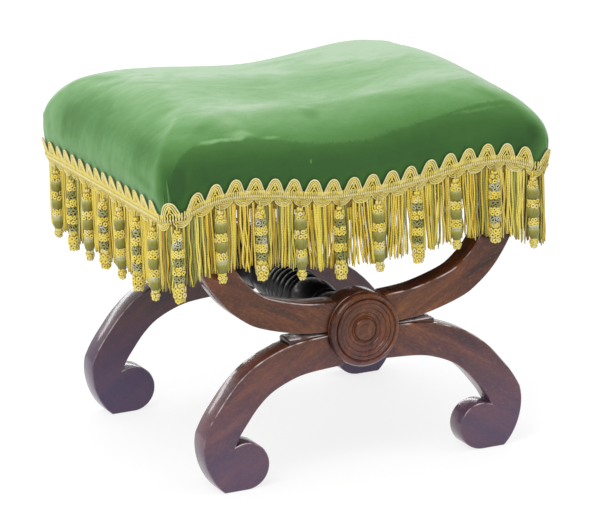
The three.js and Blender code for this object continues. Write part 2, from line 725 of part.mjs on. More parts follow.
// A band along a side; its section of distances out and heights runs up the inside and down the outside
function band(side, stations, sectionOf) {
  const points = [];
  for (const along of stations) {
    for (const [out, height] of sectionOf(along)) {
      const point = sidePoint(side, along, out);
      points.push(new THREE.Vector3(point.x, point.y, height));
    }
  }
  const count = points.length / stations.length;
  const section = sectionOf(0).map(([out, height]) => new THREE.Vector2(out, height));
  const end = count * (stations.length - 1);
  const faces = [];
  for (const [a, b, c] of THREE.ShapeUtils.triangulateShape(section, [])) {
    faces.push([a, c, b], [end + a, end + b, end + c]);
  }
  for (let base = 0; base < end; base += count) {
    for (let k = 0; k < count; k += 1) {
      const next = (k + 1) % count;
      faces.push([base + next, base + k, base + count + k]);
      faces.push([base + next, base + count + k, base + count + next]);
    }
  }
  return closedGeometry(points, faces);
}

// The braid lies on the fringe's heading: pointed scallops above, round ones below, half a pitch apart
function braidGeometry(side) {
  const reach = reachOf(side);
  const scallops = Math.round(2 * reach * SCALLOPS_PER_HANGER / FRONT_HANGER_PITCH);
  const steps = scallops * SCALLOP_STEPS;
  const stations = [];
  for (let k = -steps; k <= steps; k += 1) {
    const along = reach * k / steps;
    if (k % 2 === 0 || Math.abs(along) > straightOf(side)) {
      stations.push(along);
    }
  }
  return band(side, stations, (along) => {
    const wave = Math.PI * along * scallops / (2 * reach);
    const middle = hemHeight(side, along) + BRAID_LOBE;
    const lower = middle - BRAID_WAIST - (BRAID_LOBE - BRAID_WAIST) * Math.abs(Math.sin(wave));
    const upper = middle + BRAID_VALLEY + (BRAID_PEAK - BRAID_VALLEY) * Math.abs(Math.cos(wave));
    const under = [lower, middle, upper].map((height) => [
      coverOutAt(side, along, height) + HEADING_THICKNESS + 2 * TRIM_GAP,
      height,
    ]);
    const over = under.map(([out, height]) => [out + BRAID_THICKNESS, height]).reverse();
    return [...under, ...over];
  });
}

// Bead hangers of two kinds hang in turn from the fringe: radius and drop, from the top
const BARREL_SHARES = [
  [0, 0], [1, 0.05], [0.86, 0.28], [1, 0.33], [0.86, 0.58], [1, 0.63], [0.5, 0.87], [0.7, 0.93], [0, 1],
];
const OPENWORK_SHARES = [
  [0, 0], [0.9, 0.12], [0.6, 0.28], [0.95, 0.42], [0.6, 0.62], [1, 0.82], [0, 1],
];

function hangerPlaces(side) {
  const reach = reachOf(side) - HANGER_CORNER_MARGIN;
  const [offset, pitch] = side.arched
    ? [FRONT_HANGER_OFFSET, FRONT_HANGER_PITCH]
    : [SIDE_HANGER_OFFSET, SIDE_HANGER_PITCH];
  const places = [];
  for (let k = Math.ceil((-reach - offset) / pitch); offset + k * pitch <= reach; k += 1) {
    places.push({ along: offset + k * pitch, barrel: (k % 2 === 0) === side.arched });
  }
  return places;
}

function hangerGeometry(side, { along, barrel }) {
  const shares = barrel ? BARREL_SHARES : OPENWORK_SHARES;
  const profile = shares.map(([across, drop]) => [across * HANGER_RADIUS, (1 - drop) * HANGER_LENGTH]);
  const geometry = turned(profile.reverse(), HANGER_STEPS);
  geometry.rotateX(Math.PI / 2);
  const point = sidePoint(side, along, HANGER_CLEARANCE + HANGER_RADIUS);
  geometry.translate(point.x, point.y, hemHeight(side, along) - TRIM_GAP - HANGER_LENGTH);
  return geometry;
}

// The fringe hangs from a thin heading that is nailed to the cover's side, under the braid
function fringeGeometry(side) {
  const straight = straightOf(side);
  const stations = [];
  for (let k = 0; k <= CORNER_STEPS; k += 1) {
    stations.push(straight + (reachOf(side) - straight) * k / CORNER_STEPS);
  }
  const steps = side.arched ? LONG_STEPS / 2 : SHORT_STEPS / 2;
  for (let k = 0; k < steps; k += 1) {
    stations.push(straight * k / steps);
  }
  const mirroredStations = stations.filter((along) => along > 0).map((along) => -along);
  const ordered = [...stations, ...mirroredStations].sort((a, b) => a - b);
  const skirt = band(side, ordered, (along) => {
    const hem = hemHeight(side, along);
    const bottom = hem + BRAID_LOBE - FRINGE_LENGTH;
    const [headingOut, headingTop] = coverAt(side, along, SIDE_SHARES[1]);
    return [
      [fringeOut, bottom],
      [fringeOut, hem],
      [headingOut + TRIM_GAP, headingTop],
      [headingOut + TRIM_GAP + HEADING_THICKNESS, headingTop],
      [fringeOut + HEADING_THICKNESS, hem],
      [fringeOut + FRINGE_THICKNESS, hem - FRINGE_THICKNESS],
      [fringeOut + FRINGE_THICKNESS, bottom],
    ];
  });
  let solid = toSolid(skirt);
  for (const hanger of hangerPlaces(side)) {
    solid = solid.add(toSolid(hangerGeometry(side, hanger)));
  }
  return toGeometry(solid);
}

// Assembly
const stool = new THREE.Group();
stool.name = "x_frame_stool";

function place(name, geometry, material) {
  const mesh = new THREE.Mesh(geometry, material);
  mesh.name = name;
  stool.add(mesh);
}

function buildSide(end, face, hand, side) {
  const [near, far] = spanOf(face, halfDepth, frameInside);
  const y = face * frameMiddle;
  const hubCut = rodAlongY(HUB_RADIUS + GAP, near - GAP, far + GAP);
  const hole = (angle) => rodFromHub(DOWEL_RADIUS + GAP, DOWEL_LENGTH + 2 * GAP, angle, side, y);
  const dowel = (angle) => rodFromHub(DOWEL_RADIUS, DOWEL_LENGTH, angle, side, y);
  const arm = upright(mirrored(armOutline(), side), near, far);
  const armTools = [hubCut, hole(armDowelAngle), railDowel(face, side, GAP)];
  const leg = upright(mirrored(legOutline(), side), near, far);
  const tongue = upright(mirrored(tongueOutline(), side), near + TONGUE_SET_BACK, far - TONGUE_SET_BACK);
  place(`${end}_arm_${hand}`, cutBy(arm, armTools), mahogany);
  place(`${end}_leg_${hand}`, cutBy(leg, [hubCut, hole(legDowelAngle)]), mahogany);
  place(`${end}_tongue_${hand}`, cutBy(tongue, [hubCut]), mahogany);
  place(`${end}_arm_dowel_${hand}`, dowel(armDowelAngle), beech);
  place(`${end}_leg_dowel_${hand}`, dowel(legDowelAngle), beech);
  place(`${end}_rail_dowel_${hand}`, railDowel(face, side, 0), beech);
  place(`${end}_corner_block_${hand}`, cornerBlockGeometry(side, face), beech);
}

function buildFrame(end, face) {
  place(`${end}_hub`, hubGeometry(face), mahogany);
  place(`${end}_boss`, bossGeometry(face), mahogany);
  buildSide(end, face, "left", -1);
  buildSide(end, face, "right", 1);
  place(`${end}_rail`, longRailGeometry(face), beech);
}

buildFrame("front", -1);
buildFrame("rear", 1);
place("stretcher", stretcherGeometry(), ebonised);
place("left_rail", endRailGeometry(-1), beech);
place("right_rail", endRailGeometry(1), beech);
longWebPlaces.forEach((_, index) => place(`long_web_${index + 1}`, longWebGeometry(index), jute));
crossWebPlaces.forEach((_, index) => place(`cross_web_${index + 1}`, crossWebGeometry(index), jute));
place("hessian", hessianGeometry(), jute);
place("stuffing", stuffingGeometry(), horsehair);
place("velvet_cover", coverGeometry(), velvet);
place("dust_cover", dustCoverGeometry(), linen);
for (const [name, side] of Object.entries(SIDES)) {
  place(`${name}_braid`, braidGeometry(side), goldBraid);
  place(`${name}_fringe`, fringeGeometry(side), goldFringe);
}

export default stool;
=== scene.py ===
# Looks of the x frame stool: crossed scroll frames under a dished velvet seat with braid and bead fringe.
# Lengths are in millimetres until a mesh is made; the frame's solids give the places.
import math

import bpy
import numpy as np
from mathutils import Matrix, Vector, kdtree


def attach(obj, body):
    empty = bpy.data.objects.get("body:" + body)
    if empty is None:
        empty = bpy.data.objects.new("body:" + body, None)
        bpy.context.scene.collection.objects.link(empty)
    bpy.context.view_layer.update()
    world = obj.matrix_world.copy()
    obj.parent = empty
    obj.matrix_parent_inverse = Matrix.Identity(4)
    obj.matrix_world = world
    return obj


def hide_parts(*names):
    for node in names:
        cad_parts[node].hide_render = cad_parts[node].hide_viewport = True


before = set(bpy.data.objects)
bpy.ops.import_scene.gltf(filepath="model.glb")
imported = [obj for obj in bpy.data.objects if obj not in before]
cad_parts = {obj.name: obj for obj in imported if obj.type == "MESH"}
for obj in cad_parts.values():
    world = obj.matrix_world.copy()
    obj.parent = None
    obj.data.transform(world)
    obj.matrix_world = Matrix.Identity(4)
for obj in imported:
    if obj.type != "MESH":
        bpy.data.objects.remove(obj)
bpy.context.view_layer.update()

MM = 0.001
BODY = "root"
# Edges sharper than this aren't shaded as one smooth surface
SHARP, SHARP_BEADS = math.radians(40), math.radians(50)

# Sizes shared with the solids
HALF_LENGTH, HALF_DEPTH = 231.5, 187.5
CORNER_RADIUS = 16
RAIL_LOW, RAIL_TOP, RAIL_THICKNESS = 318, 368, 36
ARCH_RISE = 20
ARCH_SHARES = (0.12, 0.14, 0.24, 0.47, 0.72, 0.92, 1, 0.85, 0.3)
ARCH_BLUR, ARCH_BLUR_REACH, ARCH_GRID_REACH = 9, 30, 300
HEM_RISE, HEM_OUT = 1, 2.3
DISH_HEIGHT = 414.5
BULGE = 12
SHOULDER_WIDTH, SHOULDER_HEIGHT = 80, 51
CREST_RISE, CREST_SHARE = 10, 0.7
END_FALL, LEFT_END_FALL = 12, 3
FULL_CORNER_OUT, FULL_CORNER_SHARES = 5, (1.2, 0.8)
CROWN_RISE = 10
# Where the stuffing is uneven: a place, how far it reaches along X and Y, and the rise
UNEVEN = ((185, 140, 34, 80, -4), (-214, 140, 24, 70, 4.5))
FRAME_THICKNESS = 30
HUB_HEIGHT, HUB_RADIUS = 170, 43
GAP = 0.3

# Camera, solved from the photograph
AZIMUTH, ELEVATION, ROLL = (math.radians(a) for a in (-23.746, 15.523, -2.022))
TARGET = (7.6, 0, 197.8)
DISTANCE = 4925.9
FOCAL_PIXELS = 4160.6
IMAGE_WIDTH = 601
SENSOR = 36


def smooth_arch():
    """The underside of the long rails: places along X and the heights there"""
    corner_start = HALF_LENGTH - CORNER_RADIUS
    places = np.linspace(0, corner_start, len(ARCH_SHARES))
    places = np.append(places, corner_start + CORNER_RADIUS * math.sqrt(0.5))
    heights = np.append(RAIL_LOW + ARCH_RISE * np.array(ARCH_SHARES), RAIL_LOW)
    grid = np.arange(-ARCH_GRID_REACH, ARCH_GRID_REACH + 1)
    rough = np.pad(np.interp(np.abs(grid), places, heights), ARCH_BLUR_REACH, mode="edge")
    kernel = np.exp(-0.5 * (np.arange(-ARCH_BLUR_REACH, ARCH_BLUR_REACH + 1) / ARCH_BLUR) ** 2)
    return grid, np.convolve(rough, kernel / kernel.sum(), mode="valid")


ARCH = smooth_arch()


def rail_bottom(x):
    return np.interp(x, *ARCH)


def hem_height(x, y):
    over_front = np.clip((np.abs(y) - HALF_DEPTH + CORNER_RADIUS) / CORNER_RADIUS, 0, 1)
    return HEM_RISE + RAIL_LOW + (rail_bottom(x) - RAIL_LOW) * over_front


def seat_top(x, y):
    along = np.abs(x) / (HALF_LENGTH + BULGE)
    across = y / (HALF_DEPTH + BULGE)
    crest = np.sin(math.pi / 2 * np.minimum(1, along / CREST_SHARE)) ** 2
    fall = (np.maximum(0, along - CREST_SHARE) / (1 - CREST_SHARE)) ** 2
    end_fall = np.where(x < 0, LEFT_END_FALL, END_FALL)
    top = DISH_HEIGHT + CREST_RISE * crest - end_fall * fall + CROWN_RISE * (1 - across ** 2)
    for middle_x, middle_y, reach_x, reach_y, rise in UNEVEN:
        top = top + rise * np.exp(-((x - middle_x) / reach_x) ** 2 - ((y - middle_y) / reach_y) ** 2)
    return top


def shoulder(x, y):
    """The height where the cushion's side turns into its top"""
    return seat_top(x, y) - SHOULDER_HEIGHT


def fullness(x, y):
    """How much fuller the near right corner is stuffed than the others"""
    start, span = FULL_CORNER_SHARES
    share = np.clip((x / HALF_LENGTH - y / HALF_DEPTH - start) / span, 0, 1)
    return FULL_CORNER_OUT * share ** 2 * (3 - 2 * share)


# The path round the seat, in four sides from mitre to mitre
PATH_RADIUS = CORNER_RADIUS + HEM_OUT
CORNER_HALF = PATH_RADIUS * math.pi / 4
TINY, LEAST = 1e-6, 1e-9


class Side:
    def __init__(self, turn, half, offset):
        self.turn, self.offset, self.middle = turn, offset, 0
        self.straight = half - CORNER_RADIUS
        self.reach = self.straight + CORNER_HALF

    def place(self, along, out):
        straight = np.clip(along, -self.straight, self.straight)
        over = (along - straight) / PATH_RADIUS
        radius = CORNER_RADIUS + out
        u = straight + radius * np.sin(over)
        v = self.offset - CORNER_RADIUS + radius * np.cos(over)
        cos, sin = math.cos(self.turn), math.sin(self.turn)
        normal = (np.sin(over) * cos + np.cos(over) * sin, np.sin(over) * sin - np.cos(over) * cos)
        return u * cos + v * sin, u * sin - v * cos, *normal


def make_sides():
    sides = {
        "front": Side(0, HALF_LENGTH, HALF_DEPTH),
        "right": Side(math.pi / 2, HALF_DEPTH, HALF_LENGTH),
        "rear": Side(math.pi, HALF_LENGTH, HALF_DEPTH),
        "left": Side(-math.pi / 2, HALF_DEPTH, HALF_LENGTH),
    }
    ordered = list(sides.values())
    for before, side in zip(ordered, ordered[1:]):
        side.middle = before.middle + before.reach + side.reach
    return sides


SIDES = make_sides()
RING_LENGTH = 2 * sum(side.reach for side in SIDES.values())


def ring_place(s, out):
    """Where a length along the ring lies, some distance outside the rails, and its outward direction"""
    front = SIDES["front"].reach
    s = (np.asarray(s, float) + front) % RING_LENGTH - front
    out = np.broadcast_to(np.asarray(out, float), s.shape)
    found = np.zeros((4,) + s.shape)
    for side in SIDES.values():
        near = np.abs(s - side.middle) <= side.reach + TINY
        if near.any():
            along = s[near] - side.middle
            x, y, _, _ = side.place(along, HEM_OUT)
            found[:, near] = np.array(side.place(along, out[near] + fullness(x, y)))
    return found


def beside_ring(s, out, z):
    """Points beside the ring at some heights, and the way out there"""
    x, y, normal_x, normal_y = ring_place(s, out)
    return np.stack([x, y, z], 1), np.stack([normal_x, normal_y, np.zeros(len(x))], 1)


def cover_out(x, y, z):
    """How far the cushion's side stands outside the rails"""
    hem = hem_height(x, y)
    rise = np.clip((z - hem) / (shoulder(x, y) - hem), 0, 1)
    return HEM_OUT + (BULGE - HEM_OUT) * np.sin(math.pi / 2 * rise)


# Meshes
def shifted(faces, count):
    """The faces of points that come after some others"""
    return [[count + k for k in face] for face in faces]


class Patches:
    """Points in millimetres with faces and point values, gathered patch by patch"""

    def __init__(self):
        self.points, self.faces, self.slots, self.values, self.count = [], [], [], {}, 0

    def add(self, points, faces, slot=0, **values):
        self.points.append(points)
        self.faces.extend(shifted(faces, self.count))
        self.slots.extend([slot] * len(faces))
        for name, value in values.items():
            value = value if np.ndim(value) else np.full(len(points), value, float)
            self.values.setdefault(name, []).append(value)
        self.count += len(points)

    def make(self, name, materials, sharp=None):
        mesh = bpy.data.meshes.new(name)
        points = np.concatenate(self.points) * MM
        mesh.from_pydata(points.tolist(), [], self.faces)
        for key, parts in self.values.items():
            data = np.concatenate(parts).astype(np.float32)
            kind, field = ("FLOAT_VECTOR", "vector") if data.ndim == 2 else ("FLOAT", "value")
            mesh.attributes.new(key, kind, "POINT").data.foreach_set(field, data.ravel())
        mesh.polygons.foreach_set("material_index", self.slots)
        for material in materials:
            mesh.materials.append(material)
        mesh.shade_smooth()
        if sharp is not None:
            mesh.set_sharp_from_angle(angle=sharp)
        mesh.validate()
        return placed(bpy.data.objects.new(name, mesh))


def placed(made):
    bpy.context.scene.collection.objects.link(made)
    return made


def ride(piece, slot, *nodes):
    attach(piece, BODY)
    if nodes:
        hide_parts(*nodes)


def unit(vectors):
    return vectors / np.maximum(np.linalg.norm(vectors, axis=-1, keepdims=True), LEAST)


def grid_faces(rows, columns, wrap_rows=False, wrap_columns=False):
    faces = []
    for row in range(rows if wrap_rows else rows - 1):
        for column in range(columns if wrap_columns else columns - 1):
            after, beside = (row + 1) % rows, (column + 1) % columns
            faces.append([row * columns + column, row * columns + beside,
                          after * columns + beside, after * columns + column])
    return faces


def flipped(faces):
    """The same faces, seen from their other side"""
    return [face[::-1] for face in faces]


def grid_border(rows, columns):
    """The outline of a grid's points, anticlockwise from its first corner"""
    near = list(range(columns - 1))
    right = [row * columns + columns - 1 for row in range(rows - 1)]
    far = [(rows - 1) * columns + column for column in range(columns - 1, 0, -1)]
    return near + right + far + [row * columns for row in range(rows - 1, 0, -1)]


def stitched(before, now):
    """The faces between two closed loops of as many points"""
    after = [*range(1, len(before)), 0]
    return [[now[k], now[beside], before[beside], before[k]] for k, beside in enumerate(after)]


def add_rings(points, faces, before, rings):
    """Carries a skin on from its rim, ring by ring, and gives the last ring"""
    total = sum(len(part) for part in points)
    for ring in rings:
        now = list(range(total, total + len(ring)))
        faces += stitched(before, now)
        points.append(ring)
        before, total = now, total + len(ring)
    return before


def circle(steps):
    return 2 * math.pi * np.arange(steps) / steps


def tube(path, radius, sides, normal, closed=False):
    """Rings of points round a path, the faces between them, and the angle and length of each point"""
    path = np.asarray(path, float)
    if closed:
        along = unit(np.roll(path, -1, axis=0) - np.roll(path, 1, axis=0))
    else:
        along = unit(np.gradient(path, axis=0))
    normal = np.broadcast_to(np.asarray(normal, float), path.shape)
    across = unit(np.cross(along, normal))
    upward = np.cross(across, along)
    cos, sin = np.cos(circle(sides)), np.sin(circle(sides))
    radius = np.broadcast_to(np.asarray(radius, float), (len(path),))[:, None, None]
    rings = path[:, None] + radius * (
        cos[None, :, None] * across[:, None] + sin[None, :, None] * upward[:, None])
    faces = grid_faces(len(path), sides, wrap_rows=closed, wrap_columns=True)
    if not closed:
        last = (len(path) - 1) * sides
        faces += [list(range(sides))[::-1], [last + k for k in range(sides)]]
    length = np.concatenate([[0], np.cumsum(np.linalg.norm(np.diff(path, axis=0), axis=1))])
    twist = np.stack([np.tile(cos, len(path)), np.tile(sin, len(path)), np.repeat(length, sides)], axis=1)
    return rings.reshape(-1, 3), faces, twist


def lathe(profile, steps):
    """Points turned round the Z axis from pole to pole, given as radius and height"""
    turns = circle(steps)
    inner = profile[1:-1]
    rings = [np.stack([r * np.cos(turns), r * np.sin(turns), np.full(steps, z)], 1) for r, z in inner]
    points = np.concatenate([[[0, 0, profile[0][1]]], *rings, [[0, 0, profile[-1][1]]]])
    faces = shifted(grid_faces(len(inner), steps, wrap_columns=True), 1)
    last = len(points) - 1
    for k in range(steps):
        beside = (k + 1) % steps
        faces.append([0, 1 + beside, 1 + k])
        faces.append([last, last - steps + k, last - steps + beside])
    return points, faces


SPLINE_STEPS = 40


def spline(points, count):
    """Evenly spaced points of a smooth curve through some points, and its directions there"""
    p = np.asarray(points, float)
    order = np.arange(len(p) - 1)
    before, start = p[np.maximum(order - 1, 0)], p[order]
    end, after = p[order + 1], p[np.minimum(order + 2, len(p) - 1)]
    t = np.linspace(0, 1, SPLINE_STEPS, endpoint=False)[None, :, None]
    v0, v1 = ((end - before) / 2)[:, None], ((after - start) / 2)[:, None]
    start, end = start[:, None], end[:, None]
    cubic = 2 * start - 2 * end + v0 + v1
    square = 3 * end - 3 * start - 2 * v0 - v1
    fine = cubic * t ** 3 + square * t ** 2 + v0 * t + start
    fine = np.concatenate([fine.reshape(-1, p.shape[1]), p[-1:]])
    length = np.concatenate([[0], np.cumsum(np.linalg.norm(np.diff(fine, axis=0), axis=1))])
    places = np.linspace(0, length[-1], count)
    even = np.stack([np.interp(places, length, fine[:, k]) for k in range(p.shape[1])], 1)
    return even, unit(np.gradient(even, axis=0))


# Materials
def colour(text):
    """A colour as it is seen on screen, such as 7a4a35, as linear light"""
    shares = [int(text[k:k + 2], 16) / 255 for k in (0, 2, 4)]
    return tuple(s / 12.92 if s <= 0.04045 else ((s + 0.055) / 1.055) ** 2.4 for s in shares) + (1,)


class Value:
    """What a node gives out; a sum, difference or product of values is a node too"""

    def __init__(self, nodes, socket):
        self.nodes, self.socket = nodes, socket

    def __add__(self, other):
        return self.nodes.math("ADD", self, other)

    def __sub__(self, other):
        return self.nodes.math("SUBTRACT", self, other)

    def __rsub__(self, other):
        return self.nodes.math("SUBTRACT", other, self)

    def __mul__(self, other):
        return self.nodes.math("MULTIPLY", self, other)

    def __abs__(self):
        return self.nodes.math("ABSOLUTE", self)


class Nodes:
    """A tree of shader nodes"""

    def __init__(self, tree):
        self.tree = tree

    def node(self, kind, inputs=(), output=0, **settings):
        made = self.tree.nodes.new(kind)
        for key, value in settings.items():
            setattr(made, key, value)
        for key, value in dict(inputs).items():
            self.give(value, made.inputs[key])
        return Value(self, made.outputs[output])

    def give(self, value, socket):
        if isinstance(value, Value):
            self.tree.links.new(value.socket, socket)
        else:
            socket.default_value = value

    def math(self, operation, a, b=0.0, clamp=False):
        return self.node("ShaderNodeMath", {0: a, 1: b}, operation=operation, use_clamp=clamp)

    def share(self, value, rate):
        """A value times a rate, kept between 0 and 1"""
        return self.math("MULTIPLY", value, rate, clamp=True)

    def vector(self, operation, a, b=(0, 0, 0), output="Vector"):
        return self.node("ShaderNodeVectorMath", {0: a, 1: b}, output, operation=operation)

    def mapped(self, value, span, results, curve="SMOOTHSTEP"):
        """A value carried over from one span to another, with soft ends"""
        limits = dict(zip(("From Min", "From Max", "To Min", "To Max"), (*span, *results)))
        sockets = {"Value": value, **limits}
        return self.node("ShaderNodeMapRange", sockets, "Result", interpolation_type=curve)

    def ray(self, kind):
        return self.node("ShaderNodeLightPath", output=f"Is {kind} Ray")

    def highest(self, first, *others):
        for other in others:
            first = self.math("MAXIMUM", first, other)
        return first


class Finish(Nodes):
    """A material with its nodes"""

    def __init__(self, name, **sockets):
        self.material = bpy.data.materials.new(name)
        self.material.use_nodes = True
        super().__init__(self.material.node_tree)
        self.shader = self.tree.nodes["Principled BSDF"]
        for key, value in sockets.items():
            self.shader.inputs[key.replace("_", " ")].default_value = value

    def attribute(self, name, output="Fac"):
        return self.node("ShaderNodeAttribute", output=output, attribute_name=name)

    def place(self):
        return self.node("ShaderNodeTexCoord", output="Object")

    def axes(self, vector):
        outputs = self.node("ShaderNodeSeparateXYZ", {"Vector": vector}).socket.node.outputs
        return [Value(self, output) for output in outputs]

    def noise(self, vector, scale, detail=3.0, roughness=0.5, distortion=0.0, output="Fac"):
        """Noise at one scale, or at its own scale along each axis"""
        if isinstance(scale, tuple):
            vector = self.node("ShaderNodeMapping", {"Vector": vector, "Scale": scale})
            scale = 1
        sockets = {"Vector": vector, "Scale": scale, "Detail": detail, "Roughness": roughness,
                   "Distortion": distortion}
        return self.node("ShaderNodeTexNoise", sockets, output)

    def ramp(self, value, *stops):
        made = self.node("ShaderNodeValToRGB", {"Fac": value}, "Color")
        elements = made.socket.node.color_ramp.elements
        while len(elements) < len(stops):
            elements.new(0.5)
        for element, (place, shade) in zip(elements, stops):
            element.position = place
            element.color = colour(shade) if isinstance(shade, str) else (shade, shade, shade, 1)
        return made

    def mix(self, share, a, b):
        node = self.node("ShaderNodeMix", data_type="RGBA").socket.node
        for value, socket in zip((share, a, b), [s for s in node.inputs if s.enabled]):
            self.give(value, socket)
        return Value(self, next(s for s in node.outputs if s.enabled))

    def tinted(self, base, share, shade):
        return self.mix(share, base, colour(shade))

    def roughness_from(self, value):
        self.give(value, self.shader.inputs["Roughness"])

    def done(self, base, height, strength, distance):
        self.give(base, self.shader.inputs["Base Color"])
        bump = self.node("ShaderNodeBump", {"Height": height, "Strength": strength, "Distance": distance})
        self.give(bump, self.shader.inputs["Normal"])
        return self.material


# Where painted light and shade fall on the timber, in metres and per metre: painted cool light near the
# floor, and painted shade towards the back
COOL_LIGHT_BELOW, COOL_LIGHT_RATE = 0.17, 7
SHADE_BEYOND, SHADE_RATE = -0.05, 6


def mahogany_finish():
    """Polished red-brown timber: long soft figure, short dark pores and warmer patches, with painted cool
    light near the floor, painted shade towards the back, a painted highlight along the arrises and on the
    tongues' tops, and painted shade on the tongues' ends
    """
    finish = Finish("mahogany", Roughness=0.34, Specular_IOR_Level=0.25, Coat_Weight=0.5, Coat_Roughness=0.1)
    grain = finish.attribute("grain", "Vector")
    figure = finish.noise(grain, (9, 60, 60), 5, 0.55, 0.6)
    patches = finish.noise(grain, (14, 22, 22))
    pores = finish.noise(grain, (200, 1900, 1900), 2)
    mottle = finish.noise(grain, (170, 420, 420), 3, 0.6)
    base = finish.ramp(figure, (0.3, "220d09"), (0.44, "4e2113"), (0.56, "6e361b"), (0.7, "94572a"))
    base = finish.mix(0.42, base, finish.ramp(patches, (0.38, "2c130f"), (0.62, "7c4519")))
    base = finish.tinted(base, finish.ramp(mottle, (0.5, 0.0), (0.7, 0.3)), "a06c3c")
    base = finish.tinted(base, finish.ramp(pores, (0.36, 1.0), (0.46, 0.0)) * 0.5, "1c0c08")
    _, y, z = finish.axes(finish.place())
    low = finish.share(COOL_LIGHT_BELOW - z, COOL_LIGHT_RATE)
    far = finish.share(y - SHADE_BEYOND, SHADE_RATE)
    # Painted cool light near the floor, painted shade towards the back, and painted cool light on the rear
    # frame's feet
    base = finish.tinted(base, low * 0.55, "6a5a7e")
    base = finish.tinted(base, far * 0.3, "4a3c3a")
    base = finish.tinted(base, far * low * 0.4, "483b70")
    # Painted highlight: a pale broken line along the arrises, and a pale top on each tongue
    highlight_breaks = finish.ramp(finish.noise(grain, 60, 4), (0.4, 0.0), (0.58, 1.0))
    base = finish.tinted(base, finish.attribute("arris") * highlight_breaks * 0.8, "dccfcf")
    # Painted shade on the tongues' end faces
    base = finish.tinted(base, finish.attribute("grime") * 0.85, "1a1526")
    finish.roughness_from(finish.ramp(finish.noise(grain, 24, 4), (0.3, 0.22), (0.7, 0.4)))
    return finish.done(base, pores * 0.6 + figure, 0.1, 0.0005)


def ebonised_finish():
    finish = Finish("ebonised_wood", Roughness=0.42, Specular_IOR_Level=0.3, Coat_Weight=0.15,
                    Coat_Roughness=0.12)
    place = finish.place()
    streaks = finish.noise(place, (200, 14, 200), 4)
    base = finish.ramp(streaks, (0.35, "09080a"), (0.62, "121014"), (0.8, "211a1c"))
    finish.roughness_from(finish.ramp(finish.noise(place, 60), (0.3, 0.34), (0.7, 0.52)))
    return finish.done(base, streaks, 0.12, 0.0004)


def beech_finish():
    finish = Finish("beech", Roughness=0.65)
    place = finish.place()
    figure = finish.noise(place, (8, 70, 70), 4, 0.6, 0.4)
    flecks = finish.noise(place, (120, 900, 900), 2)
    base = finish.ramp(figure, (0.3, "8f6b45"), (0.55, "b18c60"), (0.75, "c6a578"))
    base = finish.tinted(base, finish.ramp(flecks, (0.35, 0.5), (0.5, 0.0)), "6e4d2d")
    return finish.done(base, figure, 0.25, 0.0006)


def woven_finish(name, pitch, low, high, depth=0.0006):
    """Plain weave: two crossed sets of threads, one over and one under the other"""
    finish = Finish(name, Roughness=0.9, Sheen_Weight=0.15)
    place = finish.place()
    x, y, _ = finish.axes(place)
    waves = [finish.math("SINE", axis * (2 * math.pi / pitch)) for axis in (x, y)]
    height = waves[0] * waves[1] * 0.35 + finish.noise(place, 300, 2)
    return finish.done(finish.ramp(height, (0.15, low), (0.85, high)), height, 0.6, depth)


# The straps' weave, in metres: half a herringbone, and where the stripe lies and half its width
TWILL_WIDTH, TWILL_RATE = 0.004, 2600
STRIPE_PLACE, STRIPE_HALF = 0.018, 0.0014


def webbing_finish():
    """Strap of herringbone jute with a red stripe near each edge"""
    finish = Finish("webbing", Roughness=0.9, Sheen_Weight=0.1)
    x, y, _ = finish.axes(finish.attribute("weave", "Vector"))
    twill = finish.math("SINE", (x + finish.math("PINGPONG", y, TWILL_WIDTH)) * TWILL_RATE)
    height = twill * 0.3 + finish.noise(finish.place(), 400, 2)
    base = finish.ramp(height, (0.15, "74603c"), (0.85, "bda878"))
    stripe = finish.math("LESS_THAN", abs(abs(y) - STRIPE_PLACE), STRIPE_HALF)
    return finish.done(finish.tinted(base, stripe * 0.8, "8c3a2a"), height, 0.7, 0.0006)


def horsehair_finish():
    finish = Finish("horsehair", Roughness=0.85)
    place = finish.place()
    curls = finish.noise(place, 160, 6, 0.7, 2.5)
    strands = finish.noise(place, (500, 120, 500), 3, 0.6, 3.0)
    base = finish.ramp(curls, (0.3, "1d1510"), (0.5, "3d2c20"), (0.7, "64503c"))
    return finish.done(base, curls + strands, 1.0, 0.003)


# Patches of painted light and shade on the velvet, partly where its pile is brushed or crushed: middle,
# reach and how far each shifts the shade
LIGHT_AND_NAP_PATCHES = (
    ((-157, -177, 411), (44, 5.4, 4.6), 0.5),
    ((-134, -171, 413), (26, 11, 8), 0.3),
    ((-97, -177.5, 407), (26, 4, 4), 0.26),
    ((-61, -197.5, 378), (2, 7, 5), 0.6),
    ((-36, -143, 419), (15, 17, 12), -0.14),
    ((-38, -126, 420), (18, 5, 9), 0.18),
    ((-148, 70, 433), (13, 11, 12), -0.2),
    ((-165, 84, 432), (20, 10, 12), 0.1),
    ((-241, 95, 385), (26, 60, 34), -0.22),
    ((-236, -140, 370), (26, 90, 70), -0.24),
    ((-238, -20, 355), (26, 130, 60), -0.22),
    ((-238, 100, 350), (26, 100, 50), -0.16),
    ((126, -110, 424), (130, 80, 44), 0.1),
    ((150, 60, 432), (120, 120, 40), 0.1),
    ((140, -182, 407), (95, 3.2, 3.6), 0.16),
    ((226, -192, 375), (20, 22, 34), -0.18),
    ((-231, 40, 408), (46, 150, 46), -0.32),
    ((-229, -110, 409), (44, 90, 40), -0.21),
    ((-40, -32, 428), (250, 96, 34), -0.2),
    ((-128, -137, 426), (80, 36, 28), 0.18),
    ((205, -203, 372), (60, 20, 40), -0.08),
    ((165, -150, 421), (75, 22, 14), 0.12),
    ((150, -201, 380), (110, 14, 30), 0.06),
)
PATCH_CORE_SHARE = 0.15
RAGGEDNESS = 0.009
UPPER_ABOVE, UPPER_RATE = 0.385, 33
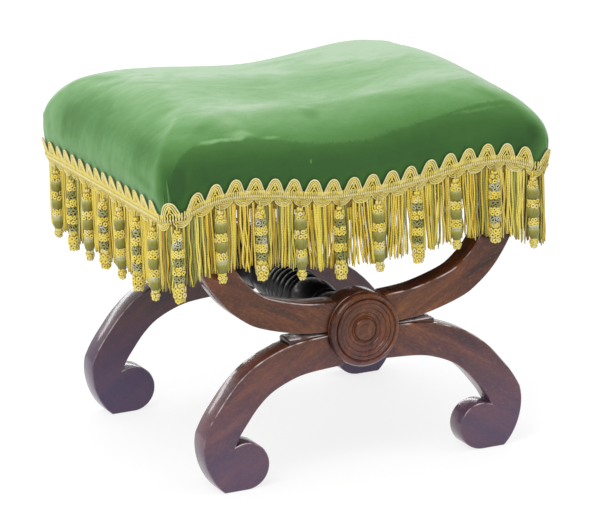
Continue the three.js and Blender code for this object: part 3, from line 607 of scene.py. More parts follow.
# Painted light on the velvet's top and painted shade on its front, which meet at a ragged line: its
# raggedness, span and shades
STEP_RAGGEDNESS, TURN_SPAN, TOP_LIGHT_FRONT_SHADE = 9, (-1.5, 2.0), (-0.05, 0.16)
# Painted sheen: the velvet's colour from where its pile is looked into to where it is seen across
VELVET_SHEEN_SHADES = ((0.0, "32582a"), (0.14, "3f6c30"), (0.4, "5a8c4a"), (0.62, "74a467"), (0.76, "88b37b"),
                 (0.9, "9cbf93"), (1.0, "b0caa9"))


def light_and_nap_patch(finish, place, middle, reach, amount):
    """A soft-edged patch round a place: full amount in the middle, nothing at its reach"""
    off = finish.vector("SUBTRACT", place, tuple(m * MM for m in middle))
    off = finish.vector("DIVIDE", off, tuple(r * MM for r in reach))
    far = finish.vector("LENGTH", off, output="Value")
    return finish.mapped(far, (PATCH_CORE_SHARE, 1.0), (amount, 0.0))


def velvet_finish():
    """Cotton velvet with painted sheen, pale where its pile is seen across and dark where it is looked into;
    with brushed nap, painted light on its top and painted shade on its front, patches of painted light and
    shade, and painted highlights on the corner folds
    """
    finish = Finish("velvet", Roughness=0.75, Sheen_Weight=0.35, Sheen_Roughness=0.35,
                    Sheen_Tint=colour("cfe8d2"), Specular_IOR_Level=0.25)
    place = finish.place()
    # Painted sheen: how far each point is seen across rather than into
    across = finish.node("ShaderNodeLayerWeight", {"Blend": 0.5}, "Facing")
    upper = finish.share(finish.axes(place)[2] - UPPER_ABOVE, UPPER_RATE)
    over_top = finish.noise(place, (9, 17, 20), 5, 0.6, 1.6)
    down_side = finish.noise(place, (34, 48, 9), 4, 0.6, 0.7)
    streaks = finish.noise(place, (36, 84, 60), 4, 0.6, 1.4)
    nap = (finish.mix(upper, down_side, over_top) - 0.5) * 0.6
    spread = (nap + (streaks - 0.5) * 0.26) * (across + 0.1)
    # Painted light on the top and painted shade on the front, stepping at a ragged line where the top turns
    # to the front
    ragged_step = (finish.noise(place, 260, 4, 0.7) - 0.5) * STEP_RAGGEDNESS
    turned = finish.mapped(finish.attribute("edge") + ragged_step, TURN_SPAN, TOP_LIGHT_FRONT_SHADE)
    # The corner folds bring their painted highlight in through their attribute
    value = across + spread + finish.attribute("nap") + turned * finish.highest(upper, 0.6)
    ragged = finish.vector("SUBTRACT", finish.noise(place, 70, 4, output="Color"), (0.5, 0.5, 0.5))
    ragged = finish.vector("MULTIPLY", ragged, (RAGGEDNESS, RAGGEDNESS, RAGGEDNESS))
    warped = finish.vector("ADD", place, ragged)
    # Patches of painted light and shade, partly brushed or crushed pile
    for patch in LIGHT_AND_NAP_PATCHES:
        value = value + light_and_nap_patch(finish, warped, *patch)
    pile = finish.noise(place, 1500, 2)
    between = finish.ramp(pile, (0.3, 0.22), (0.6, 0.0))
    base = finish.tinted(finish.ramp(value, *VELVET_SHEEN_SHADES), between, "24461c")
    return finish.done(base, pile + streaks * 2, 0.25, 0.0008)


TONES = ((0.0, "7a833c"), (0.15, "aeb363"), (0.21, "96701e"), (0.36, "d2a834"),
         (0.5, "f2d042"), (0.7, "ffea60"), (0.86, "ffec86"), (1.0, "fff6bf"))


def cord_finish(name, pitch, groove_shade):
    """Twisted cord in the tone of each cord, with painted shade in the spiral groove between its plies and
    on each cord's sides and the side that faces in
    """
    finish = Finish(name, Roughness=0.55, Sheen_Weight=0.25, Sheen_Tint=colour("fff0b8"),
                    Specular_IOR_Level=0.4)
    cos, sin, length = finish.axes(finish.attribute("twist", "Vector"))
    turn = length * (2 * math.pi / pitch)
    shade = (sin * finish.math("COSINE", turn) + cos * finish.math("SINE", turn)) * 0.5 + 0.5
    fibres = finish.noise(finish.place(), 900, 2)
    base = finish.ramp(finish.attribute("tone"), *TONES)
    # Painted shade in the spiral groove between the plies
    base = finish.tinted(base, finish.ramp(shade, (0.05, groove_shade), (0.5, 0.0)), "8c6a20")
    # Painted shade on each cord's sides and on its side that faces in
    base = finish.tinted(base, finish.ramp(sin, (0.0, 0.72), (0.75, 0.0)), "4f3f10")
    base = finish.tinted(base, finish.ramp(fibres, (0.3, 0.22), (0.55, 0.0)), "9a7c2c")
    return finish.done(base, shade + fibres, 0.5, 0.0006)


def satin_finish():
    """Silk-wound barrel beads in grey olive, with threads running up them"""
    finish = Finish("satin_olive", Roughness=0.34, Sheen_Weight=0.15, Specular_IOR_Level=0.5,
                    Anisotropic=0.4)
    threads = finish.noise(finish.attribute("twist", "Vector"), (14, 14, 0.2))
    base = finish.ramp(finish.attribute("tone"), (0.0, "26301f"), (0.2, "70701e"), (0.5, "a09a3a"),
                       (0.8, "c2c286"), (1.0, "efede0"))
    base = finish.tinted(base, finish.ramp(threads, (0.35, 0.4), (0.6, 0.0)), "3c3f1c")
    return finish.done(base, threads, 0.35, 0.0004)


MAHOGANY = mahogany_finish()
EBONISED = ebonised_finish()
BEECH = beech_finish()
JUTE = woven_finish("jute", 0.0032, "7b6138", "c2a473")
WEBBING = webbing_finish()
LINEN = woven_finish("black_linen", 0.0012, "0f0f10", "2c2b2d", 0.0003)
HORSEHAIR = horsehair_finish()
VELVET = velvet_finish()
BRAID = cord_finish("gold_braid", 1.6, 0.2)
FRINGE = cord_finish("gold_fringe", 2.8, 0.16)
SATIN = satin_finish()

# Timber cut from a board: an outline in the X-Z plane with its arrises rounded
ARRIS, TONGUE_ARRIS = 1.5, 0.5
ARRIS_STEPS, MITRE_LEAST = 3, 0.6
# Painted highlight on the arrises: the least, which grows as an arris faces up; on the tongues, how far a
# face must face up to get a painted highlight, how far it must face an end to get painted shade, and that
# highlight's strength
LEAST_EDGE_HIGHLIGHT, TOP_FACING, END_FACING, TOP_HIGHLIGHT = 0.15, 0.9, 0.6, 2.0
TIP_TURN, TIP_ROOM = math.radians(120), 3.3
HUB_ARC_POINTS, HALVINGS = 14, 30


def turns_of(outline):
    """The directions before and after each point"""
    ahead = unit(np.roll(outline, -1, axis=0) - outline)
    return np.roll(ahead, 1, axis=0), ahead


def shrunk(outline, inset):
    """The outline drawn in by some distance; it runs anticlockwise"""
    normals = [np.stack([-d[:, 1], d[:, 0]], 1) for d in turns_of(outline)]
    middle = unit(normals[0] + normals[1])
    stretch = 1 / np.maximum(MITRE_LEAST, (middle * normals[0]).sum(1))
    return outline + middle * (inset * stretch)[:, None]


def area_of(outline):
    x, z = outline.T
    return 0.5 * np.sum(x * np.roll(z, -1) - z * np.roll(x, -1))


def painted_light_of(outline, levels, arris, painted_top_and_ends):
    """How much painted highlight and painted shade each point of a board gets: a pale line along its
    arrises, paler where they face up; a tongue gets a pale top and dark ends instead
    """
    along = unit(np.roll(outline, -1, axis=0) - np.roll(outline, 1, axis=0))
    upward = -along[:, 0]
    if painted_top_and_ends:
        painted_highlight = np.where(upward > TOP_FACING, TOP_HIGHLIGHT, 0)
        grime = np.where(np.abs(along[:, 1]) > END_FACING, 1.0, 0)
        return np.tile(painted_highlight, len(levels)), np.tile(grime, len(levels))
    painted_highlight = np.where(upward > 0, LEAST_EDGE_HIGHLIGHT + upward, LEAST_EDGE_HIGHLIGHT)
    painted_highlight = np.concatenate([painted_highlight if 0 < inset < arris else 0 * painted_highlight for inset, _ in levels])
    return painted_highlight, 0 * painted_highlight


def board(patches, outline, near, far, grain, arris=ARRIS, painted_top_and_ends=False):
    """A board between two places along Y; grain turns its points into the timber's own directions"""
    if area_of(outline) < 0:
        outline = outline[::-1]
    turns = np.linspace(0, math.pi / 2, ARRIS_STEPS + 1)
    insets = list(arris * (1 - np.sin(turns)))
    depths = list(arris * (1 - np.cos(turns)))
    levels = [(i, near + d) for i, d in zip(insets, depths)]
    levels += [(i, far - d) for i, d in zip(insets[::-1], depths[::-1])]
    rings = []
    for inset, y in levels:
        loop = shrunk(outline, inset)
        rings.append(np.stack([loop[:, 0], np.full(len(loop), y), loop[:, 1]], 1))
    points = np.concatenate(rings)
    count = len(outline)
    faces = flipped(grid_faces(len(rings), count, wrap_columns=True))
    last = count * (len(rings) - 1)
    caps = [list(range(count)), [last + k for k in range(count)][::-1]]
    painted_highlight, grime = painted_light_of(outline, levels, arris, painted_top_and_ends)
    patches.add(points, faces + caps, grain=grain(points), arris=painted_highlight, grime=grime)


def straight_grain(angle, offset):
    """Grain that runs at an angle in the X-Z plane; each piece has its own place in the log"""
    cos, sin = math.cos(angle), math.sin(angle)

    def grain(points):
        x, y, z = points.T * MM
        return np.stack([x * cos + z * sin + offset, y + offset * 3, z * cos - x * sin - offset * 2], 1)

    return grain


def make_board(name, *plan):
    """The board's piece: flat-shaded broad faces between rounded arrises"""
    patches = Patches()
    board(patches, *plan)
    piece = patches.make(f"{name}_timber", [MAHOGANY])
    for polygon in piece.data.polygons:
        polygon.use_smooth = len(polygon.vertices) <= 4
    ride(piece, "mahogany", name)


def crossing(outer, inner, centre, radius):
    """Where the line from a point outside a circle to one inside it meets the circle"""
    low, high = 0.0, 1.0
    for _ in range(HALVINGS):
        middle = (low + high) / 2
        if np.linalg.norm(outer + (inner - outer) * middle - centre) < radius:
            high = middle
        else:
            low = middle
    return outer + (inner - outer) * low


def trimmed_by_hub(outline):
    """The outline with its run inside the hub's circle replaced by that circle's arc"""
    centre = np.array([0, HUB_HEIGHT])
    radius = HUB_RADIUS + GAP
    inside = np.linalg.norm(outline - centre, axis=1) < radius
    first = int(np.argmax(inside & ~np.roll(inside, 1)))
    outline, inside = np.roll(outline, -first, axis=0), np.roll(inside, -first)
    kept = outline[~inside]
    ends = [crossing(kept[-1], outline[0], centre, radius),
            crossing(kept[0], outline[inside][-1], centre, radius)]
    angles = [math.atan2(*(end - centre)[::-1]) for end in ends]
    turn = (angles[1] - angles[0] + math.pi) % (2 * math.pi) - math.pi
    hub_arc = arc(*centre, radius, angles[0], angles[0] + turn, HUB_ARC_POINTS)
    return blunted(np.concatenate([kept, hub_arc]))


def blunted(outline):
    """The outline without its thin feather edges, which no arris would fit on"""
    hand = math.copysign(1, area_of(outline))
    behind, ahead = turns_of(outline)
    turn = np.arctan2(behind[:, 0] * ahead[:, 1] - behind[:, 1] * ahead[:, 0], (behind * ahead).sum(1))
    sharp = hand * turn > TIP_TURN
    for tip, bend in zip(outline[sharp], hand * turn[sharp]):
        outline = outline[np.linalg.norm(outline - tip, axis=1) > TIP_ROOM / math.tan(math.pi - bend)]
    return outline


ARM_REACH = HALF_LENGTH - 43.5
ARM_START = 188.2
ARM_WIDTHS = (34, 38.5)
ARM_TOP_ROOM = 2
ARM_LINE_SHARES = ((0.1, 0), (0.16, 0), (0.386, 0.023), (0.624, 0.107), (0.739, 0.192), (0.852, 0.335),
                   (0.956, 0.559), (0.995, 0.79), (1, 1))
LEG_START = HUB_HEIGHT - 21.5
LEG_WIDTHS = (38.5, 41)
LEG_LINE_SHARES = ((0.07, 0), (0.165, 0), (0.406, 0.034), (0.557, 0.1145), (0.7, 0.255), (0.812, 0.451),
                   (0.906, 0.688), (0.96, 0.845), (1, 1))
LOBE_RADIUS, LOBE_REACH, SOLE_LENGTH, HEEL_BULGE = 28, 150, 28, 7
CREASE_ANGLE, ANKLE_TILT = math.radians(62), math.radians(24)
HEEL_SHARES = (0.65, 0.2, 0.6)
TONGUE_REACH, TONGUE_TIP, TONGUE_SET_BACK, TONGUE_RISE = 92, 2.5, 2, 1.25
TONGUE_TOP = LEG_START + LEG_WIDTHS[0] / 2 + TONGUE_RISE
LINE_POINTS, SEAT_POINTS, HEEL_POINTS, LOBE_POINTS, TIP_POINTS = 60, 12, 22, 40, 6


def edges_of(shares, start, end, widths):
    points = [(end[0] * along, start + (end[1] - start) * rise) for along, rise in shares]
    middle, direction = spline(points, LINE_POINTS)
    half = np.linspace(*widths, LINE_POINTS)[:, None] / 2
    across = np.stack([-direction[:, 1], direction[:, 0]], 1)
    return middle + across * half, middle - across * half


def arc(x, z, radius, start, end, steps):
    turns = np.linspace(start, end, steps)
    return np.stack([x + radius * np.cos(turns), z + radius * np.sin(turns)], 1)


def arm_outline():
    end = (ARM_REACH, rail_bottom(ARM_REACH) - GAP)
    left, right = edges_of(ARM_LINE_SHARES, ARM_START, end, ARM_WIDTHS)
    left, right = (side[side[:, 1] < rail_bottom(side[:, 0]) - ARM_TOP_ROOM] for side in (left, right))
    x = np.linspace(right[-1][0], left[-1][0], SEAT_POINTS)
    seat = np.stack([x, rail_bottom(x) - GAP], 1)
    return np.concatenate([right, seat, left[::-1]])


CREASE = np.array([LOBE_REACH + LOBE_RADIUS * math.cos(CREASE_ANGLE),
                   LOBE_RADIUS + LOBE_RADIUS * math.sin(CREASE_ANGLE)])
ANKLE = CREASE + LEG_WIDTHS[1] / 2 * np.array([math.cos(ANKLE_TILT), math.sin(ANKLE_TILT)])
LEG_EDGES = edges_of(LEG_LINE_SHARES, LEG_START, ANKLE, LEG_WIDTHS)


def leg_outline():
    outer, inner = LEG_EDGES
    top = outer[-1]
    toe = np.array([LOBE_REACH + SOLE_LENGTH, 0])
    run = top[0] + HEEL_BULGE - toe[0]
    controls = (top, (top[0] + HEEL_BULGE, top[1] * HEEL_SHARES[0]),
                (toe[0] + run * HEEL_SHARES[2], top[1] * HEEL_SHARES[1]), toe)
    t = np.linspace(0, 1, HEEL_POINTS)[:, None]
    a, b, c, d = (np.array(p, float) for p in controls)
    heel = a * (1 - t) ** 3 + 3 * b * t * (1 - t) ** 2 + 3 * c * t ** 2 * (1 - t) + d * t ** 3
    lobe = arc(LOBE_REACH, LOBE_RADIUS, LOBE_RADIUS, -math.pi / 2, CREASE_ANGLE - 2 * math.pi, LOBE_POINTS)
    return np.concatenate([outer[:-1], heel, lobe, inner[:-1][::-1]])


def tongue_outline():
    outer = LEG_EDGES[0]
    under = outer[outer[:, 0] < TONGUE_REACH] + (0, GAP)
    corner_height = np.interp(TONGUE_REACH, outer[:, 0], outer[:, 1]) + GAP
    tip = arc(TONGUE_REACH - TONGUE_TIP, TONGUE_TOP - TONGUE_TIP, TONGUE_TIP, 0, math.pi / 2, TIP_POINTS)
    return np.concatenate([under, [(TONGUE_REACH, corner_height)], tip, [(under[0][0], TONGUE_TOP)]])


BOSS_PROFILE = ((0, 0), (42.2, 0), (43.6, 1.2), (44, 3), (43.8, 5.6), (42.7, 8), (41.2, 9.8), (39.6, 10.7),
                (38.2, 10.9), (37.3, 10.1), (36.9, 8.6), (36.4, 8.3), (35.8, 9.2), (34.8, 10.2),
                (33.4, 10.4), (32.2, 9.9), (31.5, 8.9), (30.9, 9.1), (30, 9.9), (28.6, 10.1), (27.2, 9.6),
                (26.2, 8.2), (25.7, 6.9), (24.8, 6.6), (23.4, 7), (21.8, 6.8), (20.6, 6), (20, 5.3),
                (19.3, 5.6), (18.2, 6.3), (16.8, 6.2), (15.6, 5.4), (14.8, 4.8), (13.9, 5.2), (13.2, 6.8),
                (12.3, 8.4), (11, 9.1), (9.6, 9), (8.6, 8.2), (7.8, 8.1), (6.6, 8.7), (4, 9), (0, 9.1))
ROUND_STEPS = 96
# The angle of each part's grain, and where in the log, in metres, it was cut
ARM_GRAIN, LEG_GRAIN, TONGUE_GRAIN, HUB_GRAIN, BOSS_GRAIN = 0.5, -0.55, 0.1, 1.4, 1.2
LOG_PLACES, HUB_PLACE, BOSS_PLACE = (0.7, 0.31, 0.13), 0.9, 0.4


def build_frame(end, face):
    near, far = sorted((face * HALF_DEPTH, face * (HALF_DEPTH - FRAME_THICKNESS)))
    plans = (("arm", arm_outline(), 0, ARM_GRAIN, ARRIS), ("leg", leg_outline(), 0, LEG_GRAIN, ARRIS),
             ("tongue", tongue_outline(), TONGUE_SET_BACK, TONGUE_GRAIN, TONGUE_ARRIS))
    for hand, side in (("left", -1), ("right", 1)):
        for index, (part, outline, set_back, angle, arris) in enumerate(plans):
            by_part, by_side, by_end = LOG_PLACES
            grain = straight_grain(side * angle, by_part * index + by_side * side * face + by_end * face)
            make_board(f"{end}_{part}_{hand}", trimmed_by_hub(outline) * (side, 1), near + set_back,
                       far - set_back, grain, arris, part == "tongue")
    rim = arc(0, HUB_HEIGHT, HUB_RADIUS, 0, 2 * math.pi, ROUND_STEPS + 1)[:-1]
    make_board(f"{end}_hub", rim, near, far, straight_grain(HUB_GRAIN, HUB_PLACE * face))
    boss = Patches()
    points, faces = lathe(BOSS_PROFILE, ROUND_STEPS)
    x, y, z = points.T
    turned = np.stack([x, face * (z + HALF_DEPTH + GAP), y + HUB_HEIGHT], 1)
    figure = straight_grain(BOSS_GRAIN, BOSS_PLACE * face)(turned)
    boss.add(turned, [f[::-face] for f in faces], grain=figure, arris=0, grime=0)
    ride(boss.make(f"{end}_boss_turned", [MAHOGANY], SHARP), "mahogany", f"{end}_boss")


# The stretcher's profile from its middle to a hub: beads by where they start and end, then the long turning
STRETCHER_RADIUS = 27
GROOVE_SHARE = 0.94
BEADS = ((0, 6, 1.02), (6, 18, 1.01), (18, 30, 0.985), (30, 35.5, 0.96), (85, 91, 0.84))
LONG_TURNING = ((0.88, 36), (0.93, 41), (0.97, 52), (0.95, 64), (0.88, 74), (0.76, 84))
VASE_TURNING = ((0.74, 92), (0.83, 102), (0.87, 115), (0.83, 130), (0.72, 143), (0.68, 150))
SHOULDER_SHARE, SHOULDER_START = 0.78, 150.5
BEAD_SQUARENESS = 0.6
BEAD_POINTS, TURNING_POINTS, STRETCHER_STEPS = 9, 22, 64


def bead_profile(start, end, share):
    low = STRETCHER_RADIUS * GROOVE_SHARE * share
    high = STRETCHER_RADIUS * share
    first = 0.5 if start == 0 else 0
    shares = np.linspace(first, 1, BEAD_POINTS)
    return [(low + (high - low) * math.sin(math.pi * t) ** BEAD_SQUARENESS,
             start + (end - start) * (t - first) / (1 - first)) for t in shares]


def turning_profile(turning):
    smooth, _ = spline([(share * STRETCHER_RADIUS, along) for share, along in turning], TURNING_POINTS)
    return [(radius, along) for radius, along in smooth]


def build_stretcher():
    half = [point for bead in BEADS[:-1] for point in bead_profile(*bead)]
    half += turning_profile(LONG_TURNING) + bead_profile(*BEADS[-1]) + turning_profile(VASE_TURNING)
    radius = SHOULDER_SHARE * STRETCHER_RADIUS
    end = HALF_DEPTH - FRAME_THICKNESS - GAP
    half += [(radius, SHOULDER_START), (radius, end)]
    profile = [(0, -end)] + [(r, -a) for r, a in half[::-1]][:-1] + half + [(0, end)]
    points, faces = lathe(profile, STRETCHER_STEPS)
    x, y, z = points.T
    patches = Patches()
    patches.add(np.stack([x, z, HUB_HEIGHT + y], 1), flipped(faces))
    ride(patches.make("stretcher_turned", [EBONISED], SHARP_BEADS), "ebonised_wood", "stretcher")


build_frame("front", -1)
build_frame("rear", 1)
build_stretcher()
for name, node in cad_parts.items():
    if "dowel" in name or "rail" in name or "corner_block" in name:
        node.data.materials.clear()
        node.data.materials.append(BEECH)

# The cushion: a fine skin over the whole seat, as a grid over the top that runs on down the sides
GRID_LONG, GRID_SHORT = 110, 88
SHOULDER_RINGS, SIDE_RINGS = 22, 14
EASE = 0.25


def eased(count):
    u = np.linspace(-1, 1, count + 1)
    return (1 + EASE) * u - EASE * u ** 3


def rounded_ring(half_x, half_y, radius):
    """The seat's rounded outline, point by point as the grid's edge runs, from the near left corner"""
    points = []
    plans = ((0, half_x, half_y, GRID_LONG), (math.pi / 2, half_y, half_x, GRID_SHORT),
             (math.pi, half_x, half_y, GRID_LONG), (-math.pi / 2, half_y, half_x, GRID_SHORT))
    for turn, half, offset, count in plans:
        straight = half - radius
        along = eased(count)[:-1] * (straight + radius * math.pi / 4)
        flat = np.clip(along, -straight, straight)
        over = (along - flat) / max(radius, TINY)
        u = flat + radius * np.sin(over)
        v = offset - radius + radius * np.cos(over)
        points.append(np.stack([u * math.cos(turn) + v * math.sin(turn),
                                u * math.sin(turn) - v * math.cos(turn)], 1))
    return np.concatenate(points)


def ring_at(out, radius, full_share):
    """The seat's outline some way outside the rails, pushed out further where the corner is fuller"""
    ring = rounded_ring(HALF_LENGTH + out, HALF_DEPTH + out, radius)
    along = unit(np.roll(ring, -1, axis=0) - np.roll(ring, 1, axis=0))
    outward = np.stack([along[:, 1], -along[:, 0]], 1)
    return ring + outward * (full_share * fullness(*ring.T))[:, None]


def top_grid(edge):
    """A grid of places inside an outline, in rows along X"""
    u, v = np.meshgrid(*(2 * np.arange(count + 1) / count - 1 for count in (GRID_LONG, GRID_SHORT)))
    share = np.maximum(np.maximum(np.abs(u), np.abs(v)), LEAST)
    a, b = u / share, v / share
    near, right, far, left = np.cumsum([0, GRID_LONG, GRID_SHORT, GRID_LONG])
    along_x = np.where(b < 0, near + (a + 1) / 2 * GRID_LONG, far + (1 - a) / 2 * GRID_LONG)
    along_y = np.where(a > 0, right + (b + 1) / 2 * GRID_SHORT, left + (1 - b) / 2 * GRID_SHORT)
    place = np.where(np.abs(b) >= np.abs(a) - LEAST, along_x, along_y)
    low = place.astype(int)
    part = (place - low)[..., None]
    count = len(edge)
    top = share[..., None] * (edge[low % count] * (1 - part) + edge[(low + 1) % count] * part)
    return top.reshape(-1, 2)


def cushion_skin(inset):
    """Points and faces of the cushion's outside, drawn in by some thickness, and its hem"""
    radius = CORNER_RADIUS + BULGE
    top_halves = [half + BULGE - SHOULDER_WIDTH for half in (HALF_LENGTH, HALF_DEPTH)]
    flat = top_grid(rounded_ring(*top_halves, radius))
    rows, columns = GRID_SHORT + 1, GRID_LONG + 1
    rings = []
    for turn in np.linspace(math.pi / 2, 0, SHOULDER_RINGS + 1)[1:]:
        out = BULGE - SHOULDER_WIDTH * (1 - math.cos(turn)) - inset * math.cos(turn)
        drop = SHOULDER_HEIGHT * (1 - math.sin(turn)) + inset * math.sin(turn)
        ring = ring_at(out, radius - inset, math.cos(turn))
        rings.append(np.column_stack([ring, seat_top(*ring.T) - drop]))
    for rise in np.linspace(1, 0, SIDE_RINGS + 1)[1:]:
        out = HEM_OUT + (BULGE - HEM_OUT) * math.sin(math.pi / 2 * rise) - inset
        ring = ring_at(out, CORNER_RADIUS + out, 1)
        hem = hem_height(*ring.T)
        rings.append(np.column_stack([ring, hem + (shoulder(*ring.T) - hem) * rise]))
    points, faces = [np.column_stack([flat, seat_top(*flat.T) - inset])], grid_faces(rows, columns)
    rim = add_rings(points, faces, grid_border(rows, columns), rings)
    return np.concatenate(points), faces, rim


SWELL_INSET, SWELL_CAP = 4, 2.5
SWELL_VOXEL = 6
SWELL_FRAMES, SWELL_PRESSURE = 20, 4
PINNED_ABOVE_HEM, FREE_ABOVE_HEM = 22, 46
SPREAD_NEIGHBOURS = 8


def free_share(points):
    """0 where the cover is tacked down near its hem, 1 where it can swell"""
    x, y, z = points.T
    return np.clip((z - hem_height(x, y) - PINNED_ABOVE_HEM) / (FREE_ABOVE_HEM - PINNED_ABOVE_HEM), 0, 1)


def coordinates(mesh):
    found = np.empty(3 * len(mesh.vertices), np.float32)
    mesh.vertices.foreach_get("co", found)
    return found.reshape(-1, 3) / MM


def remeshed_form():
    """A closed, evenly meshed form a little inside the cushion"""
    points, faces, rim = cushion_skin(SWELL_INSET)
    mesh = bpy.data.meshes.new("cushion_form")
    mesh.from_pydata((points * MM).tolist(), [], faces + [rim])
    form = placed(bpy.data.objects.new("cushion_form", mesh))
    remesh = form.modifiers.new("remesh", "REMESH")
    remesh.mode, remesh.voxel_size = "VOXEL", SWELL_VOXEL * MM
    even = bpy.data.meshes.new_from_object(form.evaluated_get(bpy.context.evaluated_depsgraph_get()))
    form.modifiers.clear()
    form.data = even
    return form


def cloth_moves(form, before):
    """How each point of the form moves as cloth under pressure from inside"""
    pinned = form.vertex_groups.new(name="pinned")
    for index, share in enumerate(free_share(before)):
        pinned.add([index], 1 - share, "REPLACE")
    cloth = form.modifiers.new("cloth", "CLOTH")
    cloth.settings.use_pressure = True
    cloth.settings.uniform_pressure_force = SWELL_PRESSURE
    cloth.settings.effector_weights.gravity = 0
    cloth.settings.vertex_group_mass = "pinned"
    cloth.point_cache.frame_end = SWELL_FRAMES
    for step in range(1, SWELL_FRAMES + 1):
        bpy.context.scene.frame_set(step)
    after = coordinates(form.evaluated_get(bpy.context.evaluated_depsgraph_get()).data)
    bpy.context.scene.frame_set(1)
    return after - before


def swelling(skin):
    """How a stuffed cover moves under pressure from inside, at each point of the skin"""
    form = remeshed_form()
    before = coordinates(form.data)
    moves = cloth_moves(form, before)
    bpy.data.objects.remove(form)
    tree = kdtree.KDTree(len(before))
    for index, point in enumerate(before):
        tree.insert(point, index)
    tree.balance()
    found = np.zeros_like(skin)
    for index, point in enumerate(skin):
        near = tree.find_n(point, SPREAD_NEIGHBOURS)
        shares = np.array([1 / (distance + 1) for _, _, distance in near])
        found[index] = (moves[[k for _, k, _ in near]] * shares[:, None]).sum(0) / shares.sum()
    length = np.maximum(np.linalg.norm(found, axis=1, keepdims=True), LEAST)
    return found / length * SWELL_CAP * np.tanh(length / SWELL_CAP) * free_share(skin)[:, None]


COVER_THICKNESS, PAD_INSET = 2, 2.3
# Where the pile turns from the top to the front, and the painted light of the top meets the painted shade of
# the front: places along X and how far out along Y
EDGE_LINE = ((-240, 200), (-216, 184.5), (-196, 177.5), (-160, 177), (-125, 174.7), (-83, 180.8),
             (-40, 184.3), (17, 186), (51, 182), (116, 179), (172, 174.3), (203, 175.6), (217, 181.6),
             (229, 196))


def inside_edge(points):
    """How far inside the line where the pile turns, between the top's painted light and the front's painted
    shade, each point lies
    """
    x, y, _ = points.T
    return np.interp(x, *zip(*EDGE_LINE)) - np.abs(y)


def build_cushion():
    """Outer skin, inner skin and the rim between them, swollen by the stuffing, and the pad inside"""
    outer, faces, rim = cushion_skin(0)
    inner, inner_faces, inner_rim = cushion_skin(COVER_THICKNESS)
    pad, pad_faces, pad_rim = cushion_skin(PAD_INSET)
    moves = swelling(outer)
    count = len(outer)
    faces += shifted(flipped(inner_faces), count)
    faces += stitched(rim, [count + k for k in inner_rim])
    skins = np.concatenate([outer + moves, inner + moves])
    patches = Patches()
    patches.add(skins, faces, nap=0, edge=inside_edge(skins))
    piece = patches.make("velvet_cushion", [VELVET])
    ride(piece, "velvet", "velvet_cover")
    build_pad(pad + moves, pad_faces, pad_rim)


PAD_BOTTOM = RAIL_TOP + 5.2
PAD_LIP = 350
PAD_RINGS = 7


def build_pad(skin, faces, rim):
    """The stuffing: it fills the cover and folds down over the outer edges of the rails"""
    skin[:, 2] = np.maximum(skin[:, 2], PAD_LIP)
    x, y, _ = skin[rim].T
    over = [np.clip(places, -half - GAP, half + GAP) for places, half in ((x, HALF_LENGTH), (y, HALF_DEPTH))]
    lip, base = (np.column_stack([*over, np.full(len(x), height)]) for height in (PAD_LIP, PAD_BOTTOM))
    middle = np.array([0, 0, PAD_BOTTOM])
    inner = [middle + (base - middle) * share for share in np.linspace(1, 0, PAD_RINGS + 2)[1:-1]]
    points = [skin]
    faces.append(add_rings(points, faces, rim, [lip, base, *inner]))
    patches = Patches()
    patches.add(np.concatenate(points), faces)
    piece = patches.make("stuffing_pad", [HORSEHAIR])
    ride(piece, "horsehair", "stuffing")


# Folds where the velvet turns each corner: how far along from it, how high they run, how wide and how much
# painted highlight they get
FOLDS = ((0, 1.1, 1.15, 0.16), (-7, 0.8, 0.9, 0.04))
FOLD_FLATNESS = 0.4
FOLD_STEPS, FOLD_SIDES = 26, 8
FOLD_START, FOLD_WAVE, FOLD_THINNEST, FOLD_TAPER = 8, 1.2, 0.05, 6


def add_fold(patches, corner, shift, rise, width, nap):
    t = np.linspace(0, 1, FOLD_STEPS)
    s = corner + shift * (1 - 0.5 * t) + FOLD_WAVE * np.sin(3 * t)
    x, y, _, _ = ring_place(s, HEM_OUT)
    start = hem_height(x, y) + FOLD_START
    z = start + t * rise * (shoulder(x, y) - start)
    over = np.clip((z - shoulder(x, y)) / SHOULDER_HEIGHT, 0, 1)
    out = cover_out(x, y, z) - SHOULDER_WIDTH * (1 - np.sqrt(1 - over ** 2))
    path, normals = beside_ring(s, out, z)
    made, faces, _ = tube(path, width * (1 - t ** FOLD_TAPER) + FOLD_THINNEST, FOLD_SIDES, normals)
    across = np.repeat(normals, FOLD_SIDES, axis=0)
    off = ((made - np.repeat(path, FOLD_SIDES, axis=0)) * across).sum(1)[:, None]
    made = made - across * off * (1 - FOLD_FLATNESS)
    # The fold's painted highlight
    patches.add(made, faces, nap=nap, edge=inside_edge(made))


def build_folds():
    patches = Patches()
    for side in SIDES.values():
        for fold in FOLDS:
            add_fold(patches, side.middle + side.reach, *fold)
    ride(patches.make("corner_folds", [VELVET]), "velvet")


build_cushion()
build_folds()

# Webbing, hessian and the black cloth under the seat
WEB_WIDTH, WEB_THICKNESS, WEB_MARGIN, WEB_RAMP = 50, 1.5, 12, 8
LONG_WEBS, CROSS_WEBS = (-65, 65), (-125, 0, 125)
WEB_BOTTOM = RAIL_TOP + GAP
WEB_RAISED = WEB_BOTTOM + WEB_THICKNESS + GAP
WEB_ROWS, WEB_COLUMNS = 120, 15
CLOTH_THICKNESS, CLOTH_MARGIN = 1, 8
HESSIAN_BOTTOM = WEB_RAISED + WEB_THICKNESS + GAP
HESSIAN_ROWS, HESSIAN_COLUMNS = 90, 72
DUST_RAMP = 10
DUST_ROWS, DUST_COLUMNS = 140, 70
TACK_PITCH, TACK_MARGIN, TACK_STEPS = 26, 9, 12
TACK_PROFILE = ((0, -1.4), (1.4, -1.2), (2.6, -0.7), (3.2, 0), (2.9, 0.2), (0, 0.2))


